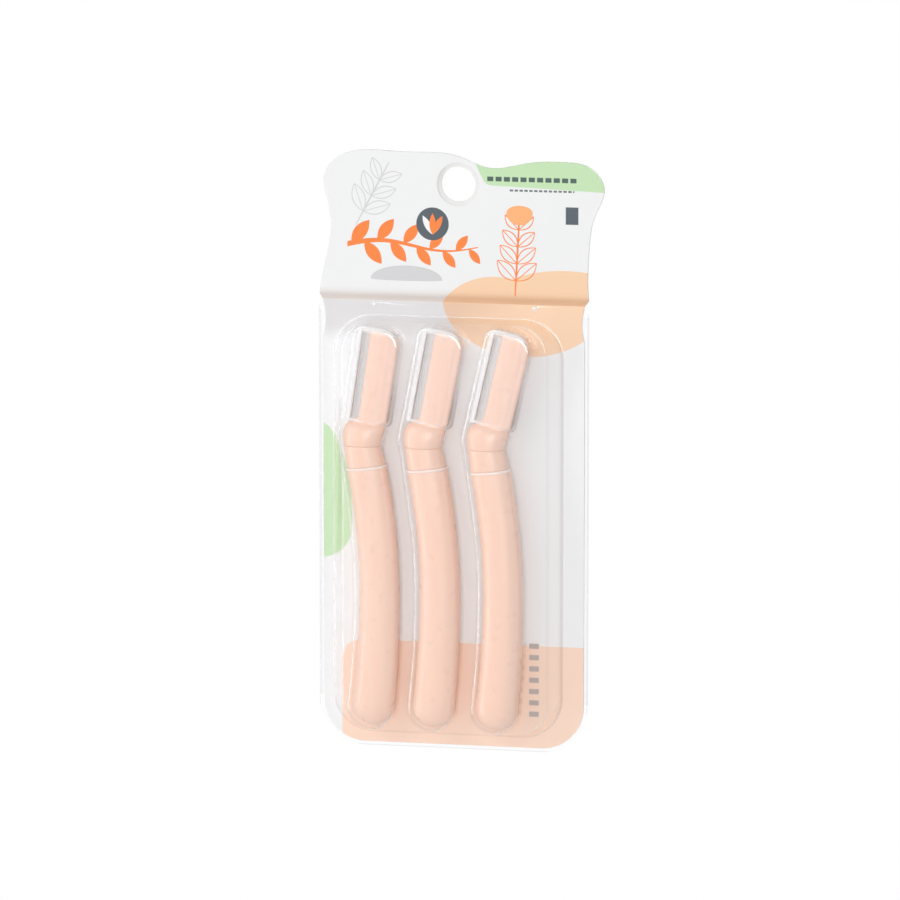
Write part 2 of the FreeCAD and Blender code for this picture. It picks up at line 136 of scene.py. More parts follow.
# Blister sheet. The two shares are of a wall's own width and height
SHEET = 0.4 * MM
FLANGE_DEPTH = 0.0 * MM
FLANGE_CORNER = 16.0 * MM
FLANGE_TOP_CORNER = 3.0 * MM
RAIL_END_GAP = 1.0 * MM
RAIL_BEND = 0.6 * MM
RAIL_FLAT = 0.5 * MM
FLAP_WIDTH = 6.0 * MM
PLATFORM_WIDTH = 80.6 * MM
PLATFORM_LENGTH = 146.5 * MM
PLATFORM_SHIFT = -1.9 * MM
PLATFORM_DROP = 4.9 * MM
PLATFORM_RISE = 6.0 * MM
PLATFORM_CORNER = 14.0 * MM
PLATFORM_SIDE_SLOPE = 4.0 * MM
PLATFORM_TOP_SLOPE = 1.2 * MM
PLATFORM_FOOT_SLOPE = 1.4 * MM
PLATFORM_CORNER_LOSS = 2.6 * MM
PLATFORM_FOOT_SHARE = 0.2
PLATFORM_TOP_SHARE = 0.22
CAVITY_RISE = 12.2 * MM
CAVITY_GAP = 1.5 * MM
CAVITY_CAP_GAP = 0.3 * MM
CAVITY_TOP_GAP = 0.35 * MM
CAVITY_WALL_LOSS = 0.25 * MM
CAVITY_SHOULDER = 2.2 * MM
CAVITY_SINK = 1.0 * MM
CAVITY_HEEL_ROUND = 3.5 * MM
CAVITY_TIP_ROUND = 6.6 * MM
CAVITY_HEAD_LEVELS = (4.5 * MM, 9.0 * MM)
CAVITY_CROWN_INSET = 0.5 * MM
STUD_RADIUS = 1.0 * MM
STUD_HEIGHT = 0.7 * MM
STUD_DROP = 1.1 * MM
STUD_LEFTS = (-29.7 * MM, 26.8 * MM)

# How finely curves are divided
SECTION_POINTS = 72
OUTLINE_POINTS = 220
RING_STEPS = 7
CORNER_STEPS = 16
SMALL_CORNER_STEPS = 6
CAP_CORNER_STEPS = 12
STUD_POINTS = 24
LIP_STEPS = 10
HANDLE_STEPS = 26
SEAM_STEPS = 4
DOME_STEPS = 16
HOLDER_TIP_STEPS = 14
RAIL_ROWS = 24

# Clear plastic: how much of it mirrors, face on and added at a grazing look, and its least milkiness
FILM_GLOSS = 0.045
GRAZING_GLOSS = 0.45
GRAZING_POWER = 5.0
LEAST_MILK = 0.012

# Print: how softly its edges end, its fixed inks, and the tones of the painted shade at the crease and
# the painted shadow under it
PRINT_SOFTNESS = 0.08 * MM
FIELD_SOFTNESS = 0.02
DASH_SOFTNESS = 0.04
PEACH_BASE_INK = (0.94, 0.68, 0.53, 1.0)
GREY_CLOUD_INK = (0.66, 0.65, 0.66, 1.0)
GREY_LINE_INK = (0.66, 0.66, 0.66, 1.0)
BUD_INK = (0.98, 0.45, 0.19, 1.0)
PALE_LEAF_INK = (0.9, 0.9, 0.9, 1.0)
UPPER_DASH_INK = (0.07, 0.12, 0.10, 1.0)
LOWER_DASH_INK = (0.16, 0.19, 0.18, 1.0)
UPRIGHT_DASH_INK = (0.44, 0.37, 0.34, 1.0)
CREASE_SHADE_TONE = (0.80, 0.70, 0.64, 1.0)
UNDER_CREASE_SHADOW_TONE = (0.84, 0.82, 0.825, 1.0)

# Camera: how the photograph was taken
IMAGE_SIZE = 900
PIXELS_PER_METRE = 2916.0
CAMERA_AZIMUTH = math.radians(12.0)
CAMERA_ELEVATION = math.radians(9.5)
CAMERA_DISTANCE = 2.32
CAMERA_SENSOR = 36.0
CENTRE_RIGHT = -2.98 * MM
CENTRE_UP = -91.2 * MM


class CardSettings(bpy.types.PropertyGroup):
    """Colours of the printed board."""

    board: bpy.props.FloatVectorProperty(
        name="Board",
        description="Coated white of the card",
        subtype="COLOR",
        default=(0.87, 0.87, 0.868),
    )
    green: bpy.props.FloatVectorProperty(
        name="Green field",
        description="Soft green printed areas",
        subtype="COLOR",
        default=(0.56, 0.77, 0.47),
    )
    peach: bpy.props.FloatVectorProperty(
        name="Peach field",
        description="Soft peach printed areas",
        subtype="COLOR",
        default=(0.94, 0.64, 0.42),
    )
    accent: bpy.props.FloatVectorProperty(
        name="Orange accent",
        description="Wave and leaf lines",
        subtype="COLOR",
        default=(0.95, 0.24, 0.05),
    )
    charcoal: bpy.props.FloatVectorProperty(
        name="Charcoal",
        description="Small dark marks",
        subtype="COLOR",
        default=(0.09, 0.11, 0.13),
    )


class RazorSettings(bpy.types.PropertyGroup):
    """Colours and finish of the razors."""

    peach: bpy.props.FloatVectorProperty(
        name="Peach plastic",
        description="Colour of the moulded handle, collar and head",
        subtype="COLOR",
        default=(0.97, 0.65, 0.51),
    )
    gloss: bpy.props.FloatProperty(
        name="Plastic roughness",
        description="Roughness of the moulded plastic",
        subtype="FACTOR",
        min=0.0,
        max=1.0,
        default=0.29,
    )
    steel: bpy.props.FloatVectorProperty(
        name="Steel",
        description="Colour of the blade",
        subtype="COLOR",
        default=(0.62, 0.62, 0.61),
    )


class SheetSettings(bpy.types.PropertyGroup):
    """Finish of the clear sheet and caps."""

    haze: bpy.props.FloatProperty(
        name="Roughness",
        description="Roughness of the clear plastic's gloss",
        subtype="FACTOR",
        min=0.0,
        max=1.0,
        default=0.08,
    )
    tint: bpy.props.FloatVectorProperty(
        name="Tint",
        description="Light that passes through one wall of the sheet",
        subtype="COLOR",
        default=(0.995, 0.995, 0.997),
    )


# Shapes in the flat: loops, rings and lofts


def resampled(points, count):
    """A closed loop of points spaced evenly round the loop that is given."""
    loop = points + [points[0]]
    lengths = [0.0]
    for a, b in zip(loop, loop[1:]):
        lengths.append(lengths[-1] + (b - a).length)
    result = []
    k = 0
    for i in range(count):
        want = lengths[-1] * i / count
        while lengths[k + 1] < want:
            k += 1
        share = (want - lengths[k]) / max(lengths[k + 1] - lengths[k], 1e-12)
        result.append(loop[k].lerp(loop[k + 1], share))
    return result


def arc_points(centre, radius, start, end, steps):
    """Points on an arc between two angles in degrees, both ends included."""
    points = []
    for i in range(steps + 1):
        angle = math.radians(start + (end - start) * i / steps)
        across = centre[0] + radius * math.cos(angle)
        up = centre[1] + radius * math.sin(angle)
        points.append(Vector((across, up)))
    return points


def quarter_turn(steps):
    """Sine and cosine at even steps from 0 to 90 degrees."""
    angles = [math.pi / 2 * i / steps for i in range(steps + 1)]
    return [(math.sin(angle), math.cos(angle)) for angle in angles]


def leaning(lean):
    """The directions across and along a part that leans to the right."""
    side = Vector((math.cos(lean), 0, -math.sin(lean)))
    up = Vector((math.sin(lean), 0, math.cos(lean)))
    return side, up


def smooth_curve(points, steps):
    """A smooth curve through flat points, each span divided into this many steps."""
    ends = [points[0] * 2 - points[1]] + points + [points[-1] * 2 - points[-2]]
    result = []
    for i in range(1, len(ends) - 2):
        p0, p1, p2, p3 = ends[i - 1 : i + 3]
        for j in range(steps):
            t = j / steps
            result.append(
                p1
                + (p2 - p0) * (t / 2)
                + (p0 * 2 - p1 * 5 + p2 * 4 - p3) * (t * t / 2)
                + (p1 * 3 - p0 - p2 * 3 + p3) * (t * t * t / 2)
            )
    result.append(points[-1])
    return result


def oval_loop(width, thickness, fullness=2.15):
    """An oval, slightly fuller than an ellipse, as (across, depth) pairs from the right."""
    points = []
    for i in range(4 * SECTION_POINTS):
        angle = math.tau * i / (4 * SECTION_POINTS)
        c = math.cos(angle)
        s = math.sin(angle)
        across = math.copysign(abs(c) ** (2 / fullness), c) * width / 2
        depth = math.copysign(abs(s) ** (2 / fullness), s) * thickness / 2
        points.append(Vector((across, depth)))
    return resampled(points, SECTION_POINTS)


def ring_on_axis(centre, lean, loop):
    """Lays a loop of (across, depth) pairs square to an axis that leans to the right."""
    side = leaning(lean)[0]
    return [centre + side * pair.x + Vector((0, pair.y, 0)) for pair in loop]


def loft(rings):
    """Points and faces of a closed body through rings of equal count, with flat ends."""
    count = len(rings[0])
    points = [point for ring in rings for point in ring]
    faces = []
    for i in range(len(rings) - 1):
        for j in range(count):
            a = i * count + j
            b = i * count + (j + 1) % count
            faces.append((a, b, b + count, a + count))
    faces.append(tuple(range(count)))
    faces.append(tuple(range((len(rings) - 1) * count, len(rings) * count)))
    return points, faces


def new_mesh(name, points, faces, sharp_angle):
    """A mesh with outward faces, smooth except where it turns sharply."""
    mesh = bpy.data.meshes.new(name)
    mesh.from_pydata([tuple(point) for point in points], [], faces)
    work = bmesh.new()
    work.from_mesh(mesh)
    bmesh.ops.remove_doubles(work, verts=work.verts, dist=MERGE_DISTANCE)
    bmesh.ops.recalc_face_normals(work, faces=work.faces)
    work.to_mesh(mesh)
    work.free()
    mesh.shade_smooth()
    mesh.set_sharp_from_angle(angle=math.radians(sharp_angle))
    return mesh


def linked(name, data):
    """A new object in the scene."""
    piece = bpy.data.objects.new(name, data)
    bpy.context.scene.collection.objects.link(piece)
    return piece


def new_piece(mesh, material, body, nodes):
    """An object that rides on a body and stands for CAD nodes."""
    piece = linked(mesh.name, mesh)
    mesh.materials.append(material)
    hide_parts(*nodes)
    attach(piece, body)
    return piece


def mould(mesh, material, number, part):
    """A peach part of one razor, in place of the CAD node of that kind."""
    new_piece(mesh, material, f"razor_{number}", [f"{part}_{number}"])


# Razor frame: the origin lies on the handle's axis where the bow stands out


def handle_axis(rise):
    """The handle's axis at this height: its point, and how far it leans to the right."""
    radius = HANDLE_UPPER_BOW_RADIUS if rise > 0 else HANDLE_LOWER_BOW_RADIUS
    sideways = math.sqrt(radius**2 - rise**2) - radius
    return Vector((sideways, 0, rise)), -math.asin(rise / radius)


def collar_top():
    """The middle of the collar's top end."""
    mouth = handle_axis(HANDLE_ABOVE_BOW)[0]
    return mouth + Vector((-COLLAR_SHIFT, 0, COLLAR_HEIGHT))


def head_root():
    """Where the blade holder's axis leaves the shoulder."""
    return collar_top() + Vector((SHOULDER_SHIFT, 0, SHOULDER_HEIGHT))


def head_point(lean, across, depth, along):
    """A point given across, into and along the blade holder."""
    side, up = leaning(lean)
    return head_root() + side * across + up * along + Vector((0, depth, 0))


def razor_place(number):
    """Where a razor's frame lies: its collar's box gives the side and height."""
    low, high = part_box(f"collar_{number}")
    handle_low, handle_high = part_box(f"handle_{number}")
    top = collar_top()
    across = low.x + COLLAR_TOP_WIDTH / 2 - top.x
    return Vector((across, (handle_low.y + handle_high.y) / 2, high.z - top.z))


def head_lean(number):
    """How far a head leans to the right, from the way its cap is drawn off."""
    for joint in frame["joints"]:
        if joint["name"] == f"cap_{number}_pull":
            return math.atan2(joint["axis"][0], joint["axis"][2])
    raise RuntimeError(f"there is no pull joint for cap {number}")


def placed(points, number):
    """Points of the razor frame, moved to where this razor lies."""
    place = razor_place(number)
    return [point + place for point in points]


def seam_inset(near):
    """How far a rounded edge is drawn in: near is 0 at the seam and 1 at the full width."""
    return 0 if near >= 1 else 2 * SEAM_DEPTH * (1 - math.sqrt(1 - (1 - near) ** 2))


def handle_mesh(number):
    """The bowed handle: a lip at its mouth, a slight waist and a round end."""

    def ring(rise, swell, share):
        place = (HANDLE_ABOVE_BOW - rise) / (HANDLE_ABOVE_BOW + HANDLE_BELOW_BOW)
        even = HANDLE_MOUTH_WIDTH + (HANDLE_END_WIDTH - HANDLE_MOUTH_WIDTH) * place
        width = (even - 4 * HANDLE_WAIST * place * (1 - place)) * share + swell
        point, lean = handle_axis(rise)
        near_mouth = max(1 - (HANDLE_ABOVE_BOW - rise) / MOUTH_TILT_REACH, 0)
        tilt = lean * (1 - (1 - MOUTH_TILT_SHARE) * near_mouth)
        return ring_on_axis(point, tilt, oval_loop(width, HANDLE_THICKNESS * share + swell))

    rings = []
    for i in range(LIP_STEPS + 1):
        share = i / LIP_STEPS
        swell = 2 * LIP_PROUD * math.sqrt(1 - (2 * share - 1) ** 2)
        rings.append(ring(HANDLE_ABOVE_BOW - LIP_HEIGHT * share, swell, 1))
    dome_rise = HANDLE_END_ROUND - HANDLE_BELOW_BOW
    body_start = HANDLE_ABOVE_BOW - LIP_HEIGHT
    for i in range(1, HANDLE_STEPS + 1):
        rings.append(ring(body_start + (dome_rise - body_start) * i / HANDLE_STEPS, 0, 1))
    for sine, cosine in quarter_turn(DOME_STEPS)[1:-1]:
        rings.append(ring(dome_rise - HANDLE_END_ROUND * sine, 0, cosine))
    points, faces = loft(rings)
    mesh = new_mesh(f"moulded_handle_{number}", placed(points, number), faces, sharp_angle=50)
    lip_foot = razor_place(number) + handle_axis(HANDLE_ABOVE_BOW - LIP_HEIGHT * LIP_REACH)[0]
    up = leaning(handle_axis(HANDLE_ABOVE_BOW)[1] * MOUTH_TILT_SHARE)[1]
    for polygon in mesh.polygons:
        polygon.material_index = int((polygon.center - lip_foot).dot(up) > 0)
    return mesh


def collar_mesh(number):
    """The ring between the two seams, rounded in at each."""
    mouth, mouth_lean = handle_axis(HANDLE_ABOVE_BOW)
    mouth_lean *= MOUTH_TILT_SHARE
    top = collar_top()
    edge = SEAM_HEIGHT / COLLAR_HEIGHT
    shares = [edge * i / SEAM_STEPS for i in range(SEAM_STEPS + 1)] + [0.25, 0.5, 0.75]
    shares += [1 - edge + edge * i / SEAM_STEPS for i in range(SEAM_STEPS + 1)]
    rings = []
    for share in shares:
        inset = seam_inset(min(share, 1 - share) / edge)
        width = COLLAR_MOUTH_WIDTH + (COLLAR_TOP_WIDTH - COLLAR_MOUTH_WIDTH) * share - inset
        loop = oval_loop(width, COLLAR_THICKNESS - inset)
        rings.append(ring_on_axis(mouth.lerp(top, share), mouth_lean * (1 - share), loop))
    points, faces = loft(rings)
    return new_mesh(f"neck_collar_{number}", placed(points, number), faces, sharp_angle=50)


def holder_half_thickness(across):
    """Half the holder's thickness: full in the middle, thin at the jaws."""
    reach = HOLDER_WIDTH / 2
    share = across / reach
    side = HOLDER_SPINE if share > 0 else HOLDER_JAW
    flutes = 0
    for place in FLUTE_PLACES:
        flutes += FLUTE_DEPTH * math.exp(-(((across - place) / FLUTE_HALF_WIDTH) ** 2))
    return (HOLDER_CROWN - (HOLDER_CROWN - side) * share * share) / 2 - flutes


def holder_loop(left, right, press):
    """The holder's cross-section between two sides, from the right, its edges rounded."""
    steps = 3 * SECTION_POINTS // 2
    front = []
    for i in range(steps + 1):
        angle = math.pi * i / steps
        across = (left + right) / 2 + math.cos(angle) * (right - left) / 2
        edge = min(right - across, across - left) / HOLDER_EDGE_ROUND
        fall = 1 if edge >= 1 else math.sqrt(max(1 - (1 - edge) ** 2, 0))
        half = (holder_half_thickness(across) - HOLDER_EDGE_ROUND) + HOLDER_EDGE_ROUND * fall
        front.append(Vector((across, half * press)))
    back = [Vector((pair.x, -pair.y)) for pair in reversed(front)]
    return resampled(front + back, SECTION_POINTS)


def holder_sides(along):
    """Left and right ends of the holder at this height, drawn in round its two corners."""
    left = -HOLDER_WIDTH / 2
    right = HOLDER_WIDTH / 2
    over = along - (HOLDER_LENGTH - HOLDER_TIP_RADIUS)
    if over > 0:
        right -= HOLDER_TIP_RADIUS - math.sqrt(max(HOLDER_TIP_RADIUS**2 - over**2, 0))
    over = along - (HOLDER_LENGTH - HOLDER_JAW_RADIUS)
    if over > 0:
        left += HOLDER_JAW_RADIUS - math.sqrt(max(HOLDER_JAW_RADIUS**2 - over**2, 0))
    return left, right


def head_mesh(number):
    """Shoulder and blade holder in one moulding: ovals that turn into the crowned bar."""
    lean = head_lean(number)
    foot = collar_top()
    reach = head_root() - foot

    def oval_at(up_share, side_share, width, thickness):
        centre = foot + Vector((reach.x * side_share, 0, reach.z * up_share))
        return ring_on_axis(centre, lean * up_share, oval_loop(width, thickness))

    def bar_at(left, right, press, along):
        return [head_point(lean, p.x, p.y, along) for p in holder_loop(left, right, press)]

    bulge = SHOULDER_BULGE
    full = COLLAR_TOP_WIDTH
    deep = COLLAR_THICKNESS
    stations = [
        (0.00, 0.00, full - 0.1 * MM, deep - 0.1 * MM),
        (0.25, 0.02, full + bulge * 0.62, deep),
        (0.50, 0.09, full + bulge * 0.95, deep - 0.15 * MM),
        (0.72, 0.22, full + bulge * 0.95, deep - 0.9 * MM),
        (0.88, 0.38, full + bulge * 0.50, deep - 2.0 * MM),
        (1.00, 0.57, full - 0.9 * MM, SHOULDER_TOP_THICKNESS),
    ]
    station_steps = 4
    rows = smooth_curve([Vector(row) for row in stations], station_steps)
    rings = []
    seam_share = SEAM_HEIGHT / SHOULDER_HEIGHT
    for i in range(SEAM_STEPS):
        near = i / SEAM_STEPS
        inset = seam_inset(near)
        row = rows[0].lerp(rows[1], near * seam_share / (stations[1][0] / station_steps))
        rings.append(oval_at(row[0], row[1], row[2] - inset, row[3] - inset))
    for row in rows[1:]:
        rings.append(oval_at(*row))

    half = HOLDER_WIDTH / 2
    top_ring = rings[-1]
    for share in (0.25, 0.5, 0.75, 1.0):
        ease = share * share * (3 - 2 * share)
        along = HOLDER_BLEND_HEIGHT * share
        lift = head_point(lean, 0, 0, along) - head_point(lean, 0, 0, 0)
        bar = bar_at(-half, half, 1, along)
        rings.append([(a + lift).lerp(b, ease) for a, b in zip(top_ring, bar)])
    tip_start = HOLDER_LENGTH - HOLDER_TIP_RADIUS
    levels = list(HOLDER_LEVELS)
    for sine, _ in quarter_turn(HOLDER_TIP_STEPS):
        levels.append(tip_start + (HOLDER_TIP_RADIUS - HOLDER_EDGE_ROUND) * sine)
    for along in levels:
        left, right = holder_sides(along)
        rings.append(bar_at(left, right, 1, along))
    left, right = holder_sides(HOLDER_LENGTH - HOLDER_EDGE_ROUND)
    for sine, cosine in quarter_turn(4)[1:]:
        along = HOLDER_LENGTH - HOLDER_EDGE_ROUND * (1 - sine)
        drawn = HOLDER_EDGE_ROUND * (1 - cosine)
        press = 1 - HOLDER_EDGE_PRESS * (1 - cosine)
        rings.append(bar_at(left + drawn, right - drawn, press, along))
    points, faces = loft(rings)
    return new_mesh(f"moulded_head_{number}", placed(points, number), faces, sharp_angle=60)


def cap_path(left, right, bottom, top, heel, tip):
    """The cap's outline from its left foot, over the top, to its right foot."""
    points = [Vector((left, bottom)), Vector((left, bottom + (top - heel - bottom) / 2))]
    points += arc_points((left + heel, top - heel), heel, 180, 90, CAP_CORNER_STEPS)
    points += arc_points((right - tip, top - tip), tip, 90, 0, CAP_CORNER_STEPS)
    points += [Vector((right, bottom + (top - tip - bottom) / 2)), Vector((right, bottom))]
    return points


def cap_shell(left, right, bottom, top, heel, tip, half, edge):
    """One skin of the cap as rows of (across, depth, along), front to back, round at its edges."""
    rows = []
    turn = quarter_turn(RING_STEPS)
    for side, steps in ((-1, turn), (1, reversed(turn))):
        for sine, cosine in steps:
            drawn = edge * (1 - sine)
            depth = side * (half - edge + edge * cosine)
            small_heel = max(heel - drawn, CAP_LEAST_ROUND)
            small_tip = max(tip - drawn, CAP_LEAST_ROUND)
            path = cap_path(left + drawn, right - drawn, bottom, top - drawn, small_heel, small_tip)
            rows.append([(p.x, depth, p.y) for p in path])
    return rows


def cap_mesh(number):
    """The clear sheath: an outer skin and a hollow, joined round the mouth."""
    lean = head_lean(number)
    inner_left = -HOLDER_WIDTH / 2 - BLADE_STAND_OUT - CAP_PLAY
    inner_right = HOLDER_WIDTH / 2 + CAP_PLAY
    inner_half = HOLDER_CROWN / 2 + CAP_PLAY
    inner_top = HOLDER_LENGTH + CAP_PLAY
    outer = cap_shell(
        inner_left - CAP_SPINE,
        inner_right + CAP_WALL,
        CAP_START,
        inner_top + CAP_FACE_WALL,
        CAP_HEEL_RADIUS,
        CAP_TIP_RADIUS,
        inner_half + CAP_FACE_WALL,
        CAP_EDGE_ROUND,
    )
    inner = cap_shell(
        inner_left,
        inner_right,
        CAP_START,
        inner_top,
        CAP_HEEL_RADIUS - CAP_SPINE,
        CAP_TIP_RADIUS - CAP_WALL,
        inner_half,
        CAP_EDGE_ROUND / 2,
    )
    points = []
    faces = []
    row_length = len(outer[0])
    row_count = len(outer)
    for skin in (outer, inner):
        base = len(points)
        for row in skin:
            points += [head_point(lean, *entry) for entry in row]
        for i in range(row_count - 1):
            for j in range(row_length - 1):
                a = base + i * row_length + j
                faces.append((a, a + 1, a + 1 + row_length, a + row_length))
        faces.append(tuple(range(base, base + row_length)))
        last = base + (row_count - 1) * row_length
        faces.append(tuple(range(last, last + row_length)))
    skin_size = row_count * row_length
    mouth = [i * row_length for i in range(row_count)]
    mouth += [i * row_length + row_length - 1 for i in reversed(range(row_count))]
    for a, b in zip(mouth, mouth[1:] + mouth[:1]):
        faces.append((a, b, b + skin_size, a + skin_size))
    return new_mesh(f"clear_cap_{number}", placed(points, number), faces, sharp_angle=40)


# Blister sheet


def platform_ring(share, depth):
    """The platform's outline part of the way up its wall."""
    low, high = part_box("blister")
    centre = (low.x + high.x) / 2 + PLATFORM_SHIFT
    left = centre - PLATFORM_WIDTH / 2 + PLATFORM_SIDE_SLOPE * share
    right = centre + PLATFORM_WIDTH / 2 - PLATFORM_SIDE_SLOPE * share
    top = high.z - PLATFORM_DROP - PLATFORM_TOP_SLOPE * share
    bottom = high.z - PLATFORM_DROP - PLATFORM_LENGTH + PLATFORM_FOOT_SLOPE * share
    corner = PLATFORM_CORNER - PLATFORM_CORNER_LOSS * share
    sides = (right - corner, left + corner, left + corner, right - corner)
    ends = (top - corner, top - corner, bottom + corner, bottom + corner)
    points = []
    for i, middle in enumerate(zip(sides, ends)):
        points += arc_points(middle, corner, 90 * i, 90 * (i + 1), CORNER_STEPS)
    return [Vector((point.x, depth, point.y)) for point in points]


def cavity_ring(number, gap, depth):
    """The outline round one razor at this distance from it."""
    lean = head_lean(number)
    place = razor_place(number)

    def flat(point):
        return Vector((point.x, point.z))

    left_side = []
    right_side = []
    low = HANDLE_END_ROUND - HANDLE_BELOW_BOW
    high = HANDLE_ABOVE_BOW - HANDLE_MOUTH_WIDTH / 2
    for share in (0.0, 0.25, 0.5, 0.75, 1.0):
        point, tilt = handle_axis(low + (high - low) * share)
        half = (HANDLE_END_WIDTH + (HANDLE_MOUTH_WIDTH - HANDLE_END_WIDTH) * share) / 2 + gap
        side = leaning(tilt)[0]
        left_side.append(flat(point - side * half))
        right_side.append(flat(point + side * half))
    top_point = collar_top()
    root = head_root()
    neck = COLLAR_TOP_WIDTH / 2 + gap
    middle = (top_point.z + root.z) / 2
    left_side.append(Vector((top_point.x - neck, top_point.z)))
    left_side.append(Vector((top_point.x - neck - SHOULDER_BULGE / 2, middle)))
    right_side.append(Vector((top_point.x + neck + SHOULDER_BULGE, top_point.z)))
    stand_off = gap + CAVITY_CAP_GAP
    left = -HOLDER_WIDTH / 2 - BLADE_STAND_OUT - CAP_PLAY - CAP_SPINE - stand_off
    right = HOLDER_WIDTH / 2 + CAP_PLAY + CAP_WALL + stand_off
    top = HOLDER_LENGTH + CAP_PLAY + CAP_FACE_WALL + gap + CAVITY_TOP_GAP
    for along in CAVITY_HEAD_LEVELS:
        left_side.append(flat(head_point(lean, left, 0, along)))
        right_side.append(flat(head_point(lean, right, 0, along)))
    heel = CAVITY_HEEL_ROUND + gap
    tip = CAVITY_TIP_ROUND + gap
    round_top = arc_points((left + heel, top - heel), heel, 180, 90, CORNER_STEPS)
    round_top += arc_points((right - tip, top - tip), tip, 90, 0, CORNER_STEPS)
    round_top = [flat(head_point(lean, point.x, 0, point.y)) for point in round_top]
    end, end_lean = handle_axis(-HANDLE_BELOW_BOW)
    side, up = leaning(end_lean)
    end_centre = end + up * HANDLE_END_ROUND
    reach = HANDLE_END_WIDTH / 2 + gap
    drop = HANDLE_END_ROUND + gap
    end_steps = 24
    bottom = []
    for i in range(1, end_steps):
        angle = math.pi * i / end_steps
        bottom.append(flat(end_centre + side * reach * math.cos(angle) - up * drop * math.sin(angle)))
    loop = smooth_curve(left_side, 8) + round_top
    loop += list(reversed(smooth_curve(right_side, 8))) + bottom
    middle = len(bottom) // 2
    loop = bottom[middle:] + loop[: len(loop) - len(bottom)] + bottom[:middle]
    ring = resampled(loop, OUTLINE_POINTS)
    return [Vector((point.x + place.x, depth, point.y + place.z)) for point in ring]


def stud_ring(left, radius, depth):
    """A circle round the middle of one stop stud."""
    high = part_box("blister")[1]
    points = arc_points((left, high.z - STUD_DROP), radius, 0, 360, STUD_POINTS)[:-1]
    return [Vector((point.x, depth, point.y)) for point in points]


def wall_profile(foot_round, top_round):
    """Shares across and up a formed wall, rounded at its foot and top, with a flat rim outside."""
    pairs = [(-foot_round * 1.6, 0.0)]
    for i in range(RING_STEPS + 1):
        t = i / RING_STEPS
        across = -foot_round * (1 - t) ** 2 + foot_round * t * t
        pairs.append((across, foot_round * t * t))
    for i in range(RING_STEPS + 1):
        t = i / RING_STEPS
        across = (1 - top_round) * (1 - t) ** 2 + 2 * t * (1 - t) + (1 + top_round) * t * t
        up = (1 - top_round) * (1 - t) ** 2 + 2 * t * (1 - t) + t * t
        pairs.append((across, up))
    pairs.append((1 + top_round * 1.6, 1.0))
    return pairs


def in_loop(x, z, loop):
    """True if a point of the flat lies inside a closed loop."""
    inside = False
    for a, b in zip(loop, loop[1:] + loop[:1]):
        if (a.z > z) != (b.z > z) and x < (b.x - a.x) * (z - a.z) / (b.z - a.z) + a.x:
            inside = not inside
    return inside


def flat_faces(points, outer, holes):
    """Triangles of the flat between an outer loop of point numbers and the loops of its holes."""
    used = outer + [index for hole in holes for index in hole]
    flat = [Vector((points[index].x, points[index].z)) for index in used]
    edges = []
    first = 0
    for loop in [outer] + holes:
        count = len(loop)
        edges += [(first + i, first + (i + 1) % count) for i in range(count)]
        first += count
    result = delaunay_2d_cdt(flat, edges, [], 1, 1e-9)
    if any(not source for source in result[3]):
        raise RuntimeError("two outlines of the sheet cross")
    outer_loop = [points[index] for index in outer]
    hole_loops = [[points[index] for index in hole] for hole in holes]
    faces = []
    for triangle in result[2]:
        corners = tuple(used[result[3][index][0]] for index in triangle)
        x = sum(points[index].x for index in corners) / 3
        z = sum(points[index].z for index in corners) / 3
        if in_loop(x, z, outer_loop) and not any(in_loop(x, z, loop) for loop in hole_loops):
            faces.append(corners)
    return faces


def block(name, rings):
    """A closed body through rings, as an object for joining to others."""
    points, faces = loft(rings)
    return linked(name, new_mesh(name, points, faces, sharp_angle=60))


def shaped_mesh(piece):
    """A copy of a piece's mesh with its modifiers applied."""
    depsgraph = bpy.context.evaluated_depsgraph_get()
    return bpy.data.meshes.new_from_object(piece.evaluated_get(depsgraph))


def united(first, others):
    """The mesh of one block joined with others. The blocks are used up."""
    for other in others:
        union = first.modifiers.new(other.name, "BOOLEAN")
        union.operation = "UNION"
        union.solver = "EXACT"
        union.object = other
    mesh = shaped_mesh(first)
    for piece in [first] + others:
        used_up = piece.data
        bpy.data.objects.remove(piece)
        bpy.data.meshes.remove(used_up)
    return mesh


def flange_loop(low, high):
    """The flange's outline, and where its two long sides turn into the rails."""
    rail_low = low.z + FLANGE_CORNER + RAIL_END_GAP
    rail_high = high.z - FLANGE_TOP_CORNER - RAIL_END_GAP
    inset = RAIL_BEND + RAIL_FLAT
    corner = FLANGE_CORNER
    small = FLANGE_TOP_CORNER
    loop = arc_points((high.x - small, high.z - small), small, 0, 90, SMALL_CORNER_STEPS)
    loop += arc_points((low.x + small, high.z - small), small, 90, 180, SMALL_CORNER_STEPS)
    left_rail = []
    for i in range(RAIL_ROWS + 1):
        left_rail.append(Vector((low.x + inset, rail_high + (rail_low - rail_high) * i / RAIL_ROWS)))
    right_rail = [Vector((high.x - inset, point.y)) for point in reversed(left_rail)]
    left_start = len(loop) + 1
    loop += [Vector((low.x, rail_high))] + left_rail + [Vector((low.x, rail_low))]
    loop += arc_points((low.x + corner, low.z + corner), corner, 180, 270, CORNER_STEPS)
    loop += arc_points((high.x - corner, low.z + corner), corner, 270, 360, CORNER_STEPS)
    right_start = len(loop) + 1
    loop += [Vector((high.x, rail_low))] + right_rail + [Vector((high.x, rail_high))]
    ring = [Vector((point.x, FLANGE_DEPTH, point.y)) for point in loop]
    return ring, (left_start, right_start)


def rail_profile(side, outer_x, back):
    """The sheet's outer face from the flange round the edge and over the flap behind."""
    bend = RAIL_BEND
    inner_x = outer_x - side * bend
    turn = quarter_turn(SMALL_CORNER_STEPS)
    pairs = [(inner_x + side * bend * sine, FLANGE_DEPTH + bend * (1 - cosine)) for sine, cosine in turn]
    pairs += [(inner_x + side * bend * cosine, back - bend + bend * sine) for sine, cosine in turn]
    pairs.append((outer_x - side * FLAP_WIDTH, back))
    return pairs


